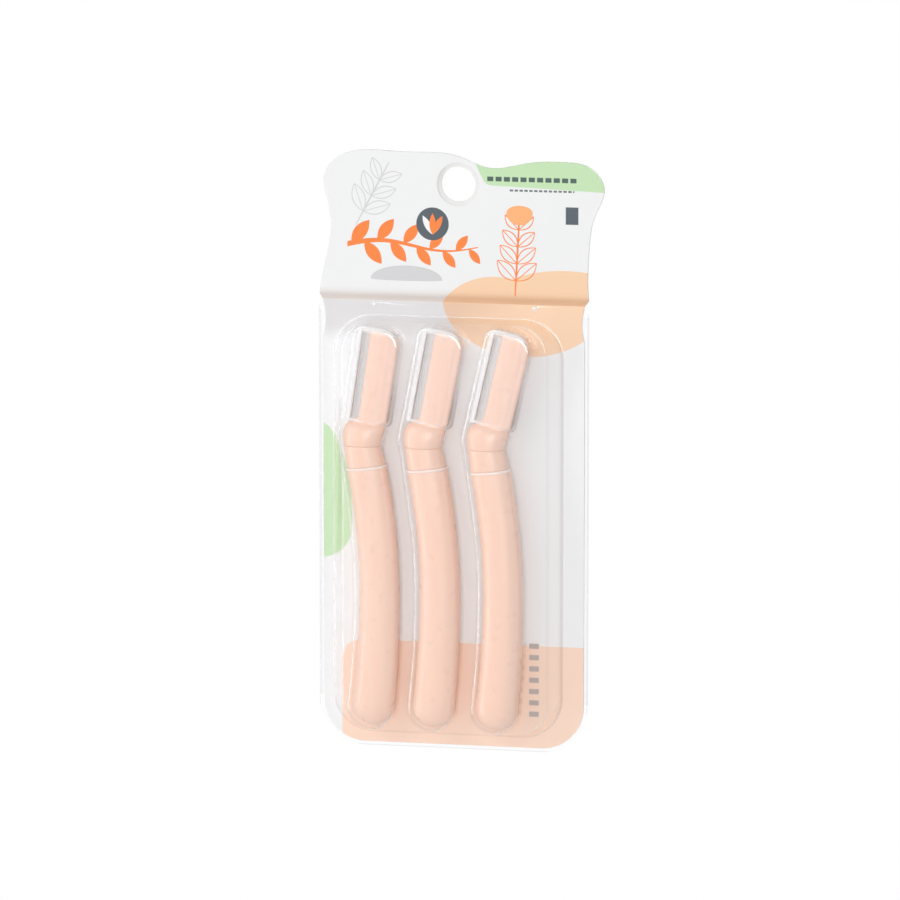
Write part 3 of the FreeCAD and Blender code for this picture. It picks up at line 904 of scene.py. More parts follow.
def platform_profile():
    """The platform's wall from the flat rim round its foot to its top."""
    return wall_profile(PLATFORM_FOOT_SHARE, PLATFORM_TOP_SHARE)


def platform_block():
    """The platform from its foot to its top, as a closed body."""
    rings = []
    for across, up in platform_profile()[1:]:
        rings.append(platform_ring(across, FLANGE_DEPTH - PLATFORM_RISE * up))
    return block("platform", rings)


def cavity_block(number):
    """One cavity from inside the platform to its crown."""
    crown = FLANGE_DEPTH - CAVITY_RISE
    shoulder = CAVITY_SHOULDER
    wall_gap = CAVITY_GAP - CAVITY_WALL_LOSS
    rings = [
        cavity_ring(number, CAVITY_GAP, FLANGE_DEPTH - CAVITY_SINK),
        cavity_ring(number, CAVITY_GAP, FLANGE_DEPTH - PLATFORM_RISE),
        cavity_ring(number, wall_gap + 0.03 * MM, crown + shoulder + 0.3 * MM),
    ]
    for sine, cosine in quarter_turn(RING_STEPS + 2):
        gap = wall_gap - shoulder * (1 - cosine)
        rings.append(cavity_ring(number, gap, crown + shoulder * (1 - sine)))
    rings.append(cavity_ring(number, wall_gap - shoulder - CAVITY_CROWN_INSET, crown))
    return block(f"cavity_{number}", rings)


def stud_rings(left):
    """The round dome of one stop stud, from its foot up."""
    rings = [stud_ring(left, STUD_RADIUS * 1.05, FLANGE_DEPTH)]
    for sine, cosine in quarter_turn(RING_STEPS)[:-1]:
        rings.append(stud_ring(left, STUD_RADIUS * cosine, FLANGE_DEPTH - STUD_HEIGHT * sine))
    return rings


def sheet_mesh():
    """Flange, platform, cavities, stop studs and folded rails as one formed skin."""
    low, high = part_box("blister")
    formed = united(platform_block(), [cavity_block(number) for number in RAZORS])
    points = [vertex.co.copy() for vertex in formed.vertices]
    faces = []
    for polygon in formed.polygons:
        if max(abs(points[index].y - FLANGE_DEPTH) for index in polygon.vertices) > MERGE_DISTANCE:
            faces.append(tuple(polygon.vertices))
    bpy.data.meshes.remove(formed)

    def add_ring(ring):
        first = len(points)
        points.extend(ring)
        return list(range(first, first + len(ring)))

    def add_strips(rows):
        for lower, upper in zip(rows, rows[1:]):
            for i in range(len(lower)):
                j = (i + 1) % len(lower)
                faces.append((lower[i], lower[j], upper[j], upper[i]))

    foot_shares = [across for across, up in platform_profile()[:2]]
    rows = [add_ring(platform_ring(share, FLANGE_DEPTH)) for share in foot_shares]
    add_strips(rows)
    holes = [rows[0]]
    for left in STUD_LEFTS:
        rows = [add_ring(ring) for ring in stud_rings(left)]
        add_strips(rows)
        faces.append(tuple(rows[-1]))
        holes.append(rows[0])
    flange_ring, rail_starts = flange_loop(low, high)
    flange = add_ring(flange_ring)
    faces += flat_faces(points, flange, holes)
    for side, start in zip((-1, 1), rail_starts):
        outer_x = low.x if side < 0 else high.x
        edge = flange[start : start + RAIL_ROWS + 1]
        for x, depth in rail_profile(side, outer_x, high.y):
            row = add_ring([Vector((x, depth, points[index].z)) for index in edge])
            for i in range(RAIL_ROWS):
                faces.append((edge[i], edge[i + 1], row[i + 1], row[i]))
            edge = row
    mesh = new_mesh("formed_sheet", points, faces, sharp_angle=60)
    foremost = min(mesh.polygons, key=lambda polygon: polygon.center.y)
    if foremost.normal.y > 0:
        mesh.flip_normals()
    return mesh


def thickened(skin):
    """The skin as a sheet with its real thickness inwards, and crisp cut edges."""
    name = skin.name
    piece = linked(name, skin)
    wall = piece.modifiers.new("sheet_thickness", "SOLIDIFY")
    wall.thickness = SHEET
    wall.offset = -1.0
    mesh = shaped_mesh(piece)
    bpy.data.objects.remove(piece)
    bpy.data.meshes.remove(skin)
    mesh.name = name
    mesh.set_sharp_from_angle(angle=math.radians(50))
    return mesh


# Materials


class Nodes:
    """An emptied node tree, with short ways to add and join nodes."""

    def __init__(self, tree):
        self.tree = tree
        tree.nodes.clear()

    def node(self, kind, inputs=None, **settings):
        """A new node with these settings, each input joined to a socket or set to a value."""
        added = self.tree.nodes.new(kind)
        for name, value in settings.items():
            setattr(added, name, value)
        for name, value in (inputs or {}).items():
            self.join(value, added.inputs[name])
        return added

    def join(self, value, socket):
        if isinstance(value, bpy.types.NodeSocket):
            self.tree.links.new(value, socket)
        else:
            socket.default_value = value

    def math(self, operation, *values):
        return self.node("ShaderNodeMath", dict(enumerate(values)), operation=operation).outputs[0]

    def times(self, first, second):
        return self.math("MULTIPLY", first, second)

    def over(self, first, second):
        return self.math("DIVIDE", first, second)

    def plus(self, first, second):
        return self.math("ADD", first, second)

    def minus(self, first, second):
        return self.math("SUBTRACT", first, second)

    def larger(self, first, second):
        return self.math("MAXIMUM", first, second)

    def absolute(self, value):
        return self.math("ABSOLUTE", value)

    def mix(self, factor, first, second, kind="MIX"):
        inputs = {0: factor, 6: first, 7: second}
        return self.node("ShaderNodeMix", inputs, data_type="RGBA", blend_type=kind).outputs[2]

    def local(self):
        """The object's own coordinates, which move with it."""
        return self.node("ShaderNodeTexCoord").outputs["Object"]

    def split(self, vector):
        """The three parts of a vector."""
        return self.node("ShaderNodeSeparateXYZ", {"Vector": vector}).outputs

    def scaled(self, vector, scale):
        """A vector with its three parts multiplied."""
        return self.node("ShaderNodeMapping", {"Vector": vector, "Scale": scale}).outputs[0]

    def noise(self, vector, scale, detail=3.0, roughness=0.5):
        inputs = {"Vector": vector, "Scale": scale, "Detail": detail, "Roughness": roughness}
        return self.node("ShaderNodeTexNoise", inputs).outputs["Fac"]

    def spread(self, value, low, high, out_low=0.0, out_high=1.0):
        """Maps a range onto another, held at its ends and eased between them."""
        inputs = {0: value, 1: low, 2: high, 3: out_low, 4: out_high}
        return self.node("ShaderNodeMapRange", inputs, interpolation_type="SMOOTHSTEP").outputs[0]

    def fading(self, value, low, high):
        """1 up to the low end of a range, and 0 from its high end."""
        return self.spread(value, low, high, 1.0, 0.0)

    def bump(self, height, strength, distance):
        """Normals tilted by a height."""
        inputs = {"Height": height, "Strength": strength, "Distance": distance}
        return self.node("ShaderNodeBump", inputs).outputs["Normal"]

    def blend(self, factor, first, second):
        """A mix of two surfaces."""
        return self.node("ShaderNodeMixShader", {0: factor, 1: first.outputs[0], 2: second.outputs[0]})

    def seen_directly(self):
        """1 for rays from the camera, and for those mirrored or passed on by clear plastic."""
        path = self.node("ShaderNodeLightPath").outputs
        seen = self.larger(path["Is Camera Ray"], path["Is Glossy Ray"])
        return self.larger(seen, path["Is Transmission Ray"])


class Shader(Nodes):
    """A new material and its nodes."""

    def __init__(self, name):
        self.material = bpy.data.materials.new(name)
        self.material.use_nodes = True
        super().__init__(self.material.node_tree)

    def principled(self, inputs):
        return self.node("ShaderNodeBsdfPrincipled", inputs)

    def finish(self, surface):
        self.node("ShaderNodeOutputMaterial", {"Surface": surface.outputs[0]})
        return self.material


def rgba(colour):
    """A colour made opaque."""
    return (colour[0], colour[1], colour[2], 1.0)


def peach_plastic(name, highlight_paleness=0.0, gloss=None):
    """Satin moulded plastic with faint flow marks and a fine grain, made paler as a painted highlight
    where asked.
    """
    settings = bpy.context.scene.razor_pack_razor
    shader = Shader(name)
    local = shader.local()
    gloss = settings.gloss if gloss is None else gloss
    # Paleness above 0 gives a paler copy of the plastic: a painted highlight
    colour = [channel + (0.98 - channel) * highlight_paleness for channel in settings.peach]
    warm = [channel * factor for channel, factor in zip(colour, (1.0, 0.98, 0.965))]
    pale = [channel * factor for channel, factor in zip(colour, (1.0, 1.02, 1.03))]
    flow = shader.noise(shader.scaled(local, (1.0, 1.0, 0.07)), 260.0, 2.0, 0.4)
    rough = shader.noise(local, 300.0, 3.0)
    grain = shader.noise(local, 5200.0, 2.0)
    surface = shader.principled(
        {
            "Base Color": shader.mix(shader.spread(flow, 0.3, 0.7), rgba(warm), rgba(pale)),
            "Roughness": shader.spread(rough, 0.3, 0.7, gloss - 0.02, gloss + 0.03),
            "Normal": shader.bump(grain, 0.15, FINE_RELIEF),
            "Subsurface Weight": 0.12,
            "Subsurface Radius": (0.0030, 0.0018, 0.0012),
            "Subsurface Scale": 1.0,
            "Specular IOR Level": 0.5,
        }
    )
    return shader.finish(surface)


def head_coordinates(shader, number):
    """Places across, into and along a blade holder."""
    root = head_root() + razor_place(number)
    moved = shader.node("ShaderNodeMapping", {"Vector": shader.local(), "Location": -root}).outputs[0]
    turn = (0.0, -head_lean(number), 0.0)
    return shader.node("ShaderNodeMapping", {"Vector": moved, "Rotation": turn}).outputs[0]


def blade_steel(number):
    """Brushed steel, its lines along the blade, with a brighter ground edge."""
    settings = bpy.context.scene.razor_pack_razor
    shader = Shader(f"blade_steel_{number}")
    laid = head_coordinates(shader, number)
    lines = shader.noise(shader.scaled(laid, (9000.0, 9000.0, 260.0)), 1.0, 3.0, 0.6)
    edge = -HOLDER_WIDTH / 2 - BLADE_STAND_OUT
    ground = shader.fading(shader.split(laid)[0], edge + 0.9 * MM, edge + 1.05 * MM)
    dark = [channel * 0.82 for channel in settings.steel]
    tone = shader.mix(shader.spread(lines, 0.3, 0.7), rgba(dark), rgba(settings.steel))
    tone = shader.mix(shader.times(ground, 0.6), tone, (0.82, 0.82, 0.82, 1.0))
    surface = shader.principled(
        {
            "Base Color": tone,
            "Metallic": 1.0,
            "Roughness": shader.spread(lines, 0.2, 0.8, 0.28, 0.42),
            "Normal": shader.bump(lines, 0.15, FINE_RELIEF),
        }
    )
    return shader.finish(surface)


def clear_plastic(shader, wave_scale, wave_height, haze_and_painted_glint, shade, shade_tone):
    """Clear plastic: gloss over light that passes on, whitened by one mask of painted highlight with a
    little haze, and greyed by another of painted shade.
    """
    settings = bpy.context.scene.razor_pack_sheet
    local = shader.local()
    waves = shader.noise(shader.scaled(local, (1.0, 1.0, 0.08)), wave_scale, 2.0, 0.4)
    normal = shader.bump(waves, 0.6, wave_height)
    scuff = shader.noise(local, 900.0, 4.0, 0.6)
    rough = shader.spread(scuff, 0.3, 0.75, settings.haze, settings.haze * 2.2)
    gloss = shader.principled(
        {"Base Color": (0.97, 0.97, 0.975, 1.0), "Roughness": rough, "Metallic": 1.0, "Normal": normal}
    )
    # Painted shade: where the shade mask is 1, the light passing through is greyed by shade_tone
    tint = rgba(settings.tint)
    grey = rgba([channel * factor for channel, factor in zip(settings.tint, shade_tone)])
    through = shader.node("ShaderNodeBsdfTransparent", {"Color": shader.mix(shade, tint, grey)})
    facing = shader.node("ShaderNodeLayerWeight", {"Blend": 0.5, "Normal": normal}).outputs["Facing"]
    grazing = shader.times(shader.math("POWER", facing, GRAZING_POWER), GRAZING_GLOSS)
    film = shader.blend(shader.plus(grazing, FILM_GLOSS), through, gloss)
    # A white surface mixed in by the first mask: a painted highlight, with a little real haze
    white = shader.principled(
        {"Base Color": (0.93, 0.93, 0.935, 1.0), "Roughness": shader.spread(scuff, 0.3, 0.75, 0.25, 0.4)}
    )
    hazed_and_glinting = shader.blend(haze_and_painted_glint, film, white)
    clear = shader.node("ShaderNodeBsdfTransparent", {"Color": WHITE})
    lamp_ray = shader.node("ShaderNodeLightPath").outputs["Is Shadow Ray"]
    return shader.finish(shader.blend(lamp_ray, hazed_and_glinting, clear))


def sheet_plastic():
    """The formed sheet: painted highlights whiten bends towards the upper left, and painted shade greys
    those away from it and the sheet's outer edges.
    """
    shader = Shader("sheet_plastic")
    normal = shader.split(shader.node("ShaderNodeTexCoord").outputs["Normal"])
    place = shader.split(shader.local())
    level = shader.absolute(normal[1])
    front = shader.times(shader.math("SIGN", normal[1]), -1.0)
    rightward = shader.times(normal[0], front)
    upward = shader.times(normal[2], front)
    bend = shader.times(shader.spread(level, 0.56, 0.8), shader.fading(level, 0.93, 0.985))

    def towards(right_share, up_share):
        across = shader.times(rightward, right_share)
        return shader.math("MULTIPLY_ADD", upward, up_share, across)

    # Painted highlights: bends facing the upper left, the lower right and upward are whitened
    lit = shader.spread(towards(-0.4, 0.9), -0.05, 0.5)
    low_lit = shader.spread(towards(0.64, -0.77), 0.42, 0.6)
    top_lit = shader.spread(upward, 0.25, 0.5, 0.0, 0.3)
    glint = shader.math("MULTIPLY_ADD", shader.larger(lit, low_lit), 0.3, top_lit)
    low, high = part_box("blister")
    # Painted highlight on the stop studs, which stand proud of the flange near its top
    near_top = shader.spread(place[2], high.z - 2.3 * MM, high.z - 2.1 * MM)
    proud = shader.spread(place[1], FLANGE_DEPTH - 0.2 * MM, FLANGE_DEPTH - 0.05 * MM, 0.6, 0.0)
    stud = shader.times(near_top, proud)
    haze_and_painted_glint = shader.larger(shader.times(bend, glint), stud)
    # Painted shade: bends facing away from the upper left are greyed, most at the platform's foot, and
    # so are the side and bottom edges of the sheet
    foot = shader.spread(place[1], FLANGE_DEPTH - 1.6 * MM, FLANGE_DEPTH - 0.8 * MM, 0.2, 1.0)
    shade = shader.times(shader.times(bend, foot), shader.minus(1.0, lit))
    off_middle = shader.absolute(shader.minus(place[0], (low.x + high.x) / 2))
    side = (high.x - low.x) / 2
    rail_edge_shade = shader.spread(off_middle, side - 0.4 * MM, side - 0.15 * MM)
    low_edge_shade = shader.fading(place[2], low.z + 0.15 * MM, low.z + 0.4 * MM)
    shade = shader.larger(shade, shader.larger(rail_edge_shade, low_edge_shade))
    # The plastic's own faint haze everywhere
    haze_and_painted_glint = shader.larger(haze_and_painted_glint, LEAST_MILK)
    return clear_plastic(shader, 120.0, 2 * FINE_RELIEF, haze_and_painted_glint, shade, (0.93, 0.92, 0.92))


def cap_plastic(number):
    """The clear cap: painted highlights whiten its thick spine, crown and mouth, and painted shade
    darkens its right wall.
    """
    shader = Shader(f"cap_plastic_{number}")
    across, _, along = shader.split(head_coordinates(shader, number))
    # Painted highlights on the spine, the crown and mostly the left of the mouth
    spine_end = -HOLDER_WIDTH / 2 - BLADE_STAND_OUT - CAP_PLAY
    spine = shader.spread(across, spine_end, spine_end + 0.5 * MM, 0.85, 0.0)
    crown = shader.spread(along, HOLDER_LENGTH - 1.6 * MM, HOLDER_LENGTH + 0.4 * MM, 0.0, 0.42)
    rim = shader.spread(along, CAP_START + 0.4 * MM, CAP_START + 1.2 * MM, 0.4, 0.0)
    mouth = shader.times(rim, shader.spread(across, -4.5 * MM, -2.0 * MM, 1.0, 0.12))
    haze_and_painted_glint = shader.larger(shader.larger(spine, crown), mouth)
    # Painted shade: a dark band low on the right wall, fading upwards
    wall = HOLDER_WIDTH / 2 + CAP_PLAY
    right = shader.spread(across, wall - 0.1 * MM, wall + 0.3 * MM)
    low = shader.spread(along, 2 * MM, 20 * MM, 1.0, 0.1)
    shade = shader.times(right, low)
    return clear_plastic(shader, 260.0, FINE_RELIEF, haze_and_painted_glint, shade, (0.78, 0.745, 0.735))


class CardPrint(Shader):
    """The printed board, with masks of its shapes by place across and up the card."""

    def __init__(self, name):
        super().__init__(name)
        self.place = self.local()
        self.x, _, self.z = self.split(self.place)
        self.axes = (self.x, self.z)

    def hill(self, centre, half_width, rise, fall):
        """1 inside an oval that reaches further up than down, or the other way."""
        across = self.over(self.minus(self.x, centre[0]), half_width)
        height = self.minus(self.z, centre[1])
        above = self.over(self.larger(height, 0.0), rise)
        below = self.over(self.math("MINIMUM", height, 0.0), fall)
        up = self.minus(above, below)
        total = self.plus(self.times(across, across), self.times(up, up))
        return self.fading(total, 1 - FIELD_SOFTNESS, 1 + FIELD_SOFTNESS)

    def bar(self, centre, size):
        """1 inside an upright bar."""
        masks = []
        for axis, middle, length in zip(self.axes, centre, size):
            off = self.absolute(self.minus(axis, middle))
            masks.append(self.fading(off, length / 2 - PRINT_SOFTNESS, length / 2 + PRINT_SOFTNESS))
        return self.times(*masks)

    def dashes(self, centre, size, period, share, upright=False):
        """A row of plain dashes, which runs across or upright."""
        i = 1 if upright else 0
        start = centre[i] - size[i] / 2
        place = self.math("FRACT", self.over(self.minus(self.axes[i], start), period))
        off = self.absolute(self.minus(place, 0.5))
        dash = self.fading(off, share / 2 - DASH_SOFTNESS, share / 2 + DASH_SOFTNESS)
        return self.times(dash, self.bar(centre, size))

    def leaf(self, foot, angle, length, width, line=None):
        """One leaf that grows from its foot at this angle: solid, or its outline and midrib."""
        c = math.cos(math.radians(angle))
        s = math.sin(math.radians(angle))
        dx = self.minus(self.x, foot[0])
        dz = self.minus(self.z, foot[1])
        along = self.plus(self.times(dx, c), self.times(dz, s))
        off = self.absolute(self.minus(self.times(dz, c), self.times(dx, s)))
        share = self.minus(self.over(along, length / 2), 1.0)
        belly = self.times(self.minus(1.0, self.times(share, share)), width / 2)
        rim = self.minus(off, belly)
        if line is None:
            body = self.fading(rim, -PRINT_SOFTNESS, PRINT_SOFTNESS)
        else:
            outline = self.fading(self.absolute(rim), line * 0.5, line)
            body = self.larger(outline, self.fading(off, line * 0.35, line * 0.8))
        return self.times(body, self.fading(self.absolute(share), 0.98, 1.03))

    def sprig(self, foot, angle, count, length, width, line):
        """A stem with pairs of leaves, drawn in line. The leaves grow smaller upwards."""
        mask = self.leaf(foot, angle, length * (count + 1) * 0.62, line, line)
        for i in range(count):
            step = length * (0.55 + 0.62 * i)
            foot_x = foot[0] + step * math.cos(math.radians(angle))
            foot_z = foot[1] + step * math.sin(math.radians(angle))
            size = 1 - 0.09 * i
            for turn in (-46, 46):
                leaf = self.leaf((foot_x, foot_z), angle + turn, length * size, width * size, line)
                mask = self.larger(mask, leaf)
        return mask

    def garland(self, left, middle, length, sway, count):
        """A bold spray of solid leaves on a waving stem, larger at the left."""
        start = self.minus(self.x, left)
        swing = self.times(self.math("SINE", self.times(start, math.tau / length)), sway)
        off = self.absolute(self.minus(self.minus(self.z, middle), swing))
        share = self.over(start, length)
        half = self.times(self.minus(1.25, share), 0.75 * MM)
        stem = self.fading(self.minus(off, half), -PRINT_SOFTNESS, PRINT_SOFTNESS)
        ends = self.fading(self.absolute(self.minus(share, 0.5)), 0.495, 0.505)
        mask = self.times(stem, ends)
        for i in range(count):
            place = (i + 0.3) / count
            size = 1 - 0.42 * place
            foot = (left + length * place, middle + sway * math.sin(math.tau * place))
            turn = 52 if i % 2 == 0 else -52
            mask = self.larger(mask, self.leaf(foot, turn, 10.5 * MM * size, 4.6 * MM * size))
        return mask


def printed_board():
    """Coated white board with soft colour fields, leaf sprays and rows of dashes."""
    settings = bpy.context.scene.razor_pack_card
    card = CardPrint("printed_board")
    x, z = card.axes
    green = rgba(settings.green)
    peach = rgba(settings.peach)
    accent = rgba(settings.accent)
    charcoal = rgba(settings.charcoal)
    crease_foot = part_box("blister")[1].z
    header = card.spread(z, crease_foot - 0.05 * MM, crease_foot + 0.05 * MM)
    tray = card.minus(1.0, header)

    foot_line = card.times(card.minus(x, 9.8 * MM), 0.039)
    above = card.minus(card.times(foot_line, -1.0), z)
    side_line = card.times(card.minus(6.7 * MM, z), 0.5)
    beside = card.minus(card.plus(side_line, 6.3 * MM), x)
    wave = card.fading(card.math("SMOOTH_MAX", above, beside, 3 * MM), -0.1 * MM, 0.1 * MM)
    near_hill = card.hill((13.0 * MM, -50.0 * MM), 21.4 * MM, 18.4 * MM, 18.4 * MM)
    far_hill = card.hill((37.5 * MM, -44.0 * MM), 29.8 * MM, 15.1 * MM, 15.1 * MM)
    hills = card.times(card.larger(near_hill, far_hill), header)
    under = card.times(card.hill((23.0 * MM, -39.6 * MM), 28.8 * MM, 19.8 * MM, 19.8 * MM), tray)
    drop = card.plus(z, 162 * MM)
    inset = card.minus(-39.9 * MM, x)
    base = card.fading(card.math("SMOOTH_MAX", drop, inset, 12 * MM), 1.4 * MM, 1.8 * MM)

    tone = rgba(settings.board)
    prints = (
        (wave, green),
        (card.hill((-49.4 * MM, -120.4 * MM), 11.6 * MM, 36.2 * MM, 11.5 * MM), green),
        (card.larger(hills, under), peach),
        (base, PEACH_BASE_INK),
        (card.hill((-18.2 * MM, -33.4 * MM), 12.6 * MM, 4.8 * MM, 0.5 * MM), GREY_CLOUD_INK),
        (card.garland(-39.0 * MM, -21.6 * MM, 46.0 * MM, 1.6 * MM, 10), accent),
        (card.sprig((-36 * MM, -15 * MM), 62, 3, 10 * MM, 4.4 * MM, 0.24 * MM), GREY_LINE_INK),
        (card.sprig((20 * MM, -38 * MM), 87, 4, 9.5 * MM, 4.6 * MM, 0.26 * MM), accent),
        (card.hill((21.5 * MM, -9.4 * MM), 4.6 * MM, 2.6 * MM, 4.2 * MM), BUD_INK),
        (card.hill((-9 * MM, -13.9 * MM), 5.7 * MM, 5.7 * MM, 5.7 * MM), charcoal),
        (card.leaf((-9 * MM, -17.6 * MM), 62, 7.4 * MM, 2.2 * MM), accent),
        (card.leaf((-9 * MM, -17.6 * MM), 118, 7.4 * MM, 2.2 * MM), PALE_LEAF_INK),
        (card.leaf((-9 * MM, -17.6 * MM), 90, 7.4 * MM, 2.2 * MM), accent),
        (card.bar((39.8 * MM, -9.9 * MM), (4.4 * MM, 6.0 * MM)), charcoal),
        (card.dashes((25.8 * MM, 2.2 * MM), (32 * MM, 1.6 * MM), 2.9 * MM, 0.74), UPPER_DASH_INK),
        (card.dashes((29.2 * MM, -1.6 * MM), (22.8 * MM, 0.7 * MM), 1.7 * MM, 0.7), LOWER_DASH_INK),
        (
            card.dashes((26.6 * MM, -172.5 * MM), (3.4 * MM, 28 * MM), 4 * MM, 0.45, upright=True),
            UPRIGHT_DASH_INK,
        ),
    )
    for mask, ink in prints:
        tone = card.mix(mask, tone, ink)

    # Painted shade on the crease's ramp, darkest just above its foot and fading upwards
    crease_shade = card.times(
        card.spread(z, crease_foot - 0.1 * MM, crease_foot + 0.3 * MM),
        card.spread(z, crease_foot + 0.6 * MM, crease_foot + 5.4 * MM, 0.85, 0.0),
    )
    tone = card.mix(crease_shade, tone, CREASE_SHADE_TONE, "MULTIPLY")
    # Painted shadow on the tray under the crease, fading out between 8 and 15 mm below it and towards
    # the right
    high = card.spread(z, crease_foot - 15 * MM, crease_foot - 8 * MM)
    under_crease_shadow = card.times(card.times(high, card.fading(x, -4 * MM, 24 * MM)), tray)
    tone = card.mix(under_crease_shadow, tone, UNDER_CREASE_SHADOW_TONE, "MULTIPLY")

    fibre = card.noise(card.place, 1500.0, 4.0, 0.6)
    surface = card.principled(
        {
            "Base Color": tone,
            "Roughness": card.spread(fibre, 0.3, 0.7, 0.42, 0.52),
            "Normal": card.bump(fibre, 0.2, FINE_RELIEF),
            "Specular IOR Level": 0.4,
        }
    )
    return card.finish(surface)


def plain_board():
    """Uncoated grey-white board with visible fibres."""
    shader = Shader("plain_board")
    local = shader.local()
    fibre = shader.noise(local, 900.0, 6.0, 0.65)
    cloud = shader.noise(local, 60.0, 3.0)
    patches = shader.spread(cloud, 0.3, 0.7)
    tone = shader.mix(patches, (0.80, 0.79, 0.77, 1.0), (0.86, 0.855, 0.84, 1.0))
    fleck = shader.spread(fibre, 0.62, 0.72, 0.0, 0.25)
    tone = shader.mix(fleck, tone, (0.66, 0.64, 0.60, 1.0))
    surface = shader.principled(
        {
            "Base Color": tone,
            "Roughness": shader.spread(fibre, 0.2, 0.8, 0.75, 0.9),
            "Normal": shader.bump(fibre, 0.35, 3 * FINE_RELIEF),
        }
    )
    return shader.finish(surface)


def dress_node(name, material):
    """Gives a CAD node its material."""
    mesh = frame["nodes"][name].data
    if not mesh.materials:
        mesh.materials.append(material)
    for index in range(len(mesh.materials)):
        mesh.materials[index] = material


# Operators


class RAZORPACK_OT_card(bpy.types.Operator):
    """Prints the front ply and finishes the back one"""

    bl_idname = "razor_pack.card"
    bl_label = "Card"

    def execute(self, context):
        dress_node("front_card", printed_board())
        dress_node("back_card", plain_board())
        return {"FINISHED"}


class RAZORPACK_OT_handles(bpy.types.Operator):
    """Moulds the three bowed handles"""

    bl_idname = "razor_pack.handles"
    bl_label = "Handles"

    def execute(self, context):
        material = peach_plastic("peach_handle")
        # The lip band is a paler, glossier copy of the plastic: a painted highlight
        lip_highlight = peach_plastic("peach_lip_highlight", 0.45, 0.12)
        for number in RAZORS:
            mesh = handle_mesh(number)
            mould(mesh, material, number, "handle")
            mesh.materials.append(lip_highlight)
        return {"FINISHED"}


class RAZORPACK_OT_collars(bpy.types.Operator):
    """Turns the collars between the seams"""

    bl_idname = "razor_pack.collars"
    bl_label = "Collars"

    def execute(self, context):
        material = peach_plastic("peach_collar")
        for number in RAZORS:
            mould(collar_mesh(number), material, number, "collar")
        return {"FINISHED"}


class RAZORPACK_OT_heads(bpy.types.Operator):
    """Moulds the shoulders with their blade holders"""

    bl_idname = "razor_pack.heads"
    bl_label = "Heads"

    def execute(self, context):
        material = peach_plastic("peach_head")
        for number in RAZORS:
            mould(head_mesh(number), material, number, "blade_head")
        return {"FINISHED"}


class RAZORPACK_OT_blades(bpy.types.Operator):
    """Brushes the steel of the three blades"""

    bl_idname = "razor_pack.blades"
    bl_label = "Blades"

    def execute(self, context):
        for number in RAZORS:
            dress_node(f"blade_{number}", blade_steel(number))
        return {"FINISHED"}


class RAZORPACK_OT_caps(bpy.types.Operator):
    """Forms the clear caps over the heads"""

    bl_idname = "razor_pack.caps"
    bl_label = "Caps"

    def execute(self, context):
        for number in RAZORS:
            name = f"cap_{number}"
            new_piece(cap_mesh(number), cap_plastic(number), name, [name])
        return {"FINISHED"}


class RAZORPACK_OT_sheet(bpy.types.Operator):
    """Forms the clear sheet with its platform, cavities and folded rails"""

    bl_idname = "razor_pack.sheet"
    bl_label = "Blister sheet"

    def execute(self, context):
        new_piece(thickened(sheet_mesh()), sheet_plastic(), "blister", ["blister"])
        return {"FINISHED"}


class RAZORPACK_OT_stage(bpy.types.Operator):
    """Sets the floor, the lights and the camera"""

    bl_idname = "razor_pack.stage"
    bl_label = "Stage"

    def execute(self, context):
        make_world(context.scene)
        make_floor()
        make_lamps()
        make_camera(context.scene)
        return {"FINISHED"}


# Stage


def make_world(scene):
    """A plain level of light all round, and white where it is seen."""
    world = bpy.data.worlds.new("studio")
    world.use_nodes = True
    nodes = Nodes(world.node_tree)
    light = nodes.node("ShaderNodeBackground", {"Color": (0.97, 0.98, 1.0, 1.0), "Strength": 0.32})
    white = nodes.node("ShaderNodeBackground", {"Color": WHITE, "Strength": 1.0})
    blend = nodes.blend(nodes.seen_directly(), light, white)
    nodes.node("ShaderNodeOutputWorld", {"Surface": blend.outputs[0]})
    scene.world = world
    # A look through the sheet and a cap crosses up to a dozen skins
    scene.cycles.transparent_max_bounces = 24


def make_floor():
    """A pale floor well under the hanging pack."""
    low, high = cad_bounds
    drop = 0.45
    half = 3.0
    centre = (Vector(low) + Vector(high)) / 2
    corners = [(-half, -half), (half, -half), (half, half), (-half, half)]
    points = [(centre.x + x, centre.y + y, low[2] - drop) for x, y in corners]
    mesh = bpy.data.meshes.new("floor")
    mesh.from_pydata(points, [], [(0, 1, 2, 3)])
    floor = linked("floor", mesh)
    shader = Shader("floor_white")
    fine = shader.noise(shader.local(), 40.0, 3.0)
    matt = shader.principled(
        {"Base Color": (0.85, 0.85, 0.85, 1.0), "Roughness": shader.spread(fine, 0.3, 0.7, 0.8, 0.9)}
    )
    glow = shader.node("ShaderNodeEmission", {"Color": WHITE, "Strength": 1.0})
    mesh.materials.append(shader.finish(shader.blend(shader.seen_directly(), matt, glow)))


def make_lamps():
    """A wide lamp in front and one behind, a soft one from the upper left and a strip at the left."""
    low, high = cad_bounds
    target = (Vector(low) + Vector(high)) / 2
    for name, offset, size, power in (
        ("front", Vector((0.35, -1.9, 0.35)), (0.9, 0.9), 15.2),
        ("key", Vector((-0.9, -1.0, 0.9)), (0.8, 0.8), 5.0),
        ("strip", Vector((-1.15, -0.5, -0.1)), (0.12, 1.4), 4.4),
        ("back", Vector((0.4, 1.7, 0.6)), (0.9, 0.9), 14.0),
    ):
        data = bpy.data.lights.new(name, "AREA")
        data.shape = "RECTANGLE"
        data.size = size[0]
        data.size_y = size[1]
        data.energy = power
        lamp = linked(name, data)
        lamp.location = target + offset
        lamp.rotation_euler = (-offset).to_track_quat("-Z", "Y").to_euler()


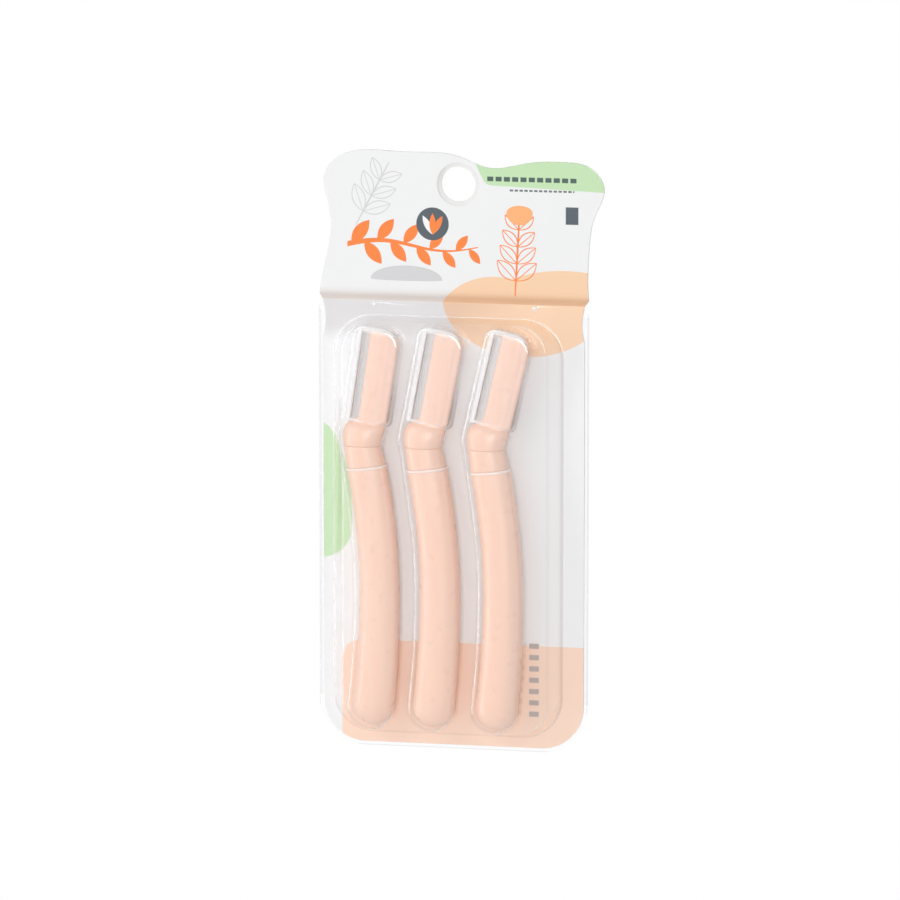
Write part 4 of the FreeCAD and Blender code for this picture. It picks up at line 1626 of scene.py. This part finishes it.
def make_camera(scene):
    """The camera, square to the frame as the photograph's was."""
    a = CAMERA_AZIMUTH
    e = CAMERA_ELEVATION
    right = Vector((math.cos(a), math.sin(a), 0))
    forward = Vector((-math.sin(a) * math.cos(e), math.cos(a) * math.cos(e), -math.sin(e)))
    up = right.cross(forward)
    data = bpy.data.cameras.new("camera")
    data.sensor_width = CAMERA_SENSOR
    data.lens = CAMERA_SENSOR * CAMERA_DISTANCE / (IMAGE_SIZE / PIXELS_PER_METRE)
    data.clip_start = 0.05
    data.clip_end = 50.0
    camera = linked("camera", data)
    place = right * CENTRE_RIGHT + up * CENTRE_UP - forward * CAMERA_DISTANCE
    turn = Matrix((right, up, -forward)).transposed().to_4x4()
    camera.matrix_world = Matrix.Translation(place) @ turn
    scene.camera = camera


class RAZORPACK_PT_panel(bpy.types.Panel):
    """Lists the steps that dress the razor pack"""

    bl_idname = "RAZORPACK_PT_panel"
    bl_label = "Razor Pack"
    bl_space_type = "VIEW_3D"
    bl_region_type = "UI"
    bl_category = "Razor Pack"

    def draw(self, context):
        layout = self.layout
        for group in ("razor_pack_card", "razor_pack_razor", "razor_pack_sheet"):
            settings = getattr(context.scene, group)
            for name in settings.__annotations__:
                layout.prop(settings, name)
        for operator in OPERATORS:
            layout.operator(operator.bl_idname)


SETTINGS = {
    "razor_pack_card": CardSettings,
    "razor_pack_razor": RazorSettings,
    "razor_pack_sheet": SheetSettings,
}
OPERATORS = (
    RAZORPACK_OT_stage,
    RAZORPACK_OT_card,
    RAZORPACK_OT_handles,
    RAZORPACK_OT_collars,
    RAZORPACK_OT_heads,
    RAZORPACK_OT_blades,
    RAZORPACK_OT_caps,
    RAZORPACK_OT_sheet,
)


def register():
    for name, group in SETTINGS.items():
        bpy.utils.register_class(group)
        setattr(bpy.types.Scene, name, bpy.props.PointerProperty(type=group))
    for operator in OPERATORS:
        bpy.utils.register_class(operator)
    bpy.utils.register_class(RAZORPACK_PT_panel)


def unregister():
    bpy.utils.unregister_class(RAZORPACK_PT_panel)
    for operator in reversed(OPERATORS):
        bpy.utils.unregister_class(operator)
    for name, group in SETTINGS.items():
        delattr(bpy.types.Scene, name)
        bpy.utils.unregister_class(group)


def main():
    register()
    bpy.context.scene.view_settings.view_transform = "Standard"
    bpy.ops.razor_pack.stage()
    bpy.ops.razor_pack.card()
    bpy.ops.razor_pack.handles()
    bpy.ops.razor_pack.collars()
    bpy.ops.razor_pack.heads()
    bpy.ops.razor_pack.blades()
    bpy.ops.razor_pack.caps()
    bpy.ops.razor_pack.sheet()


if __name__ == "__main__":
    main()
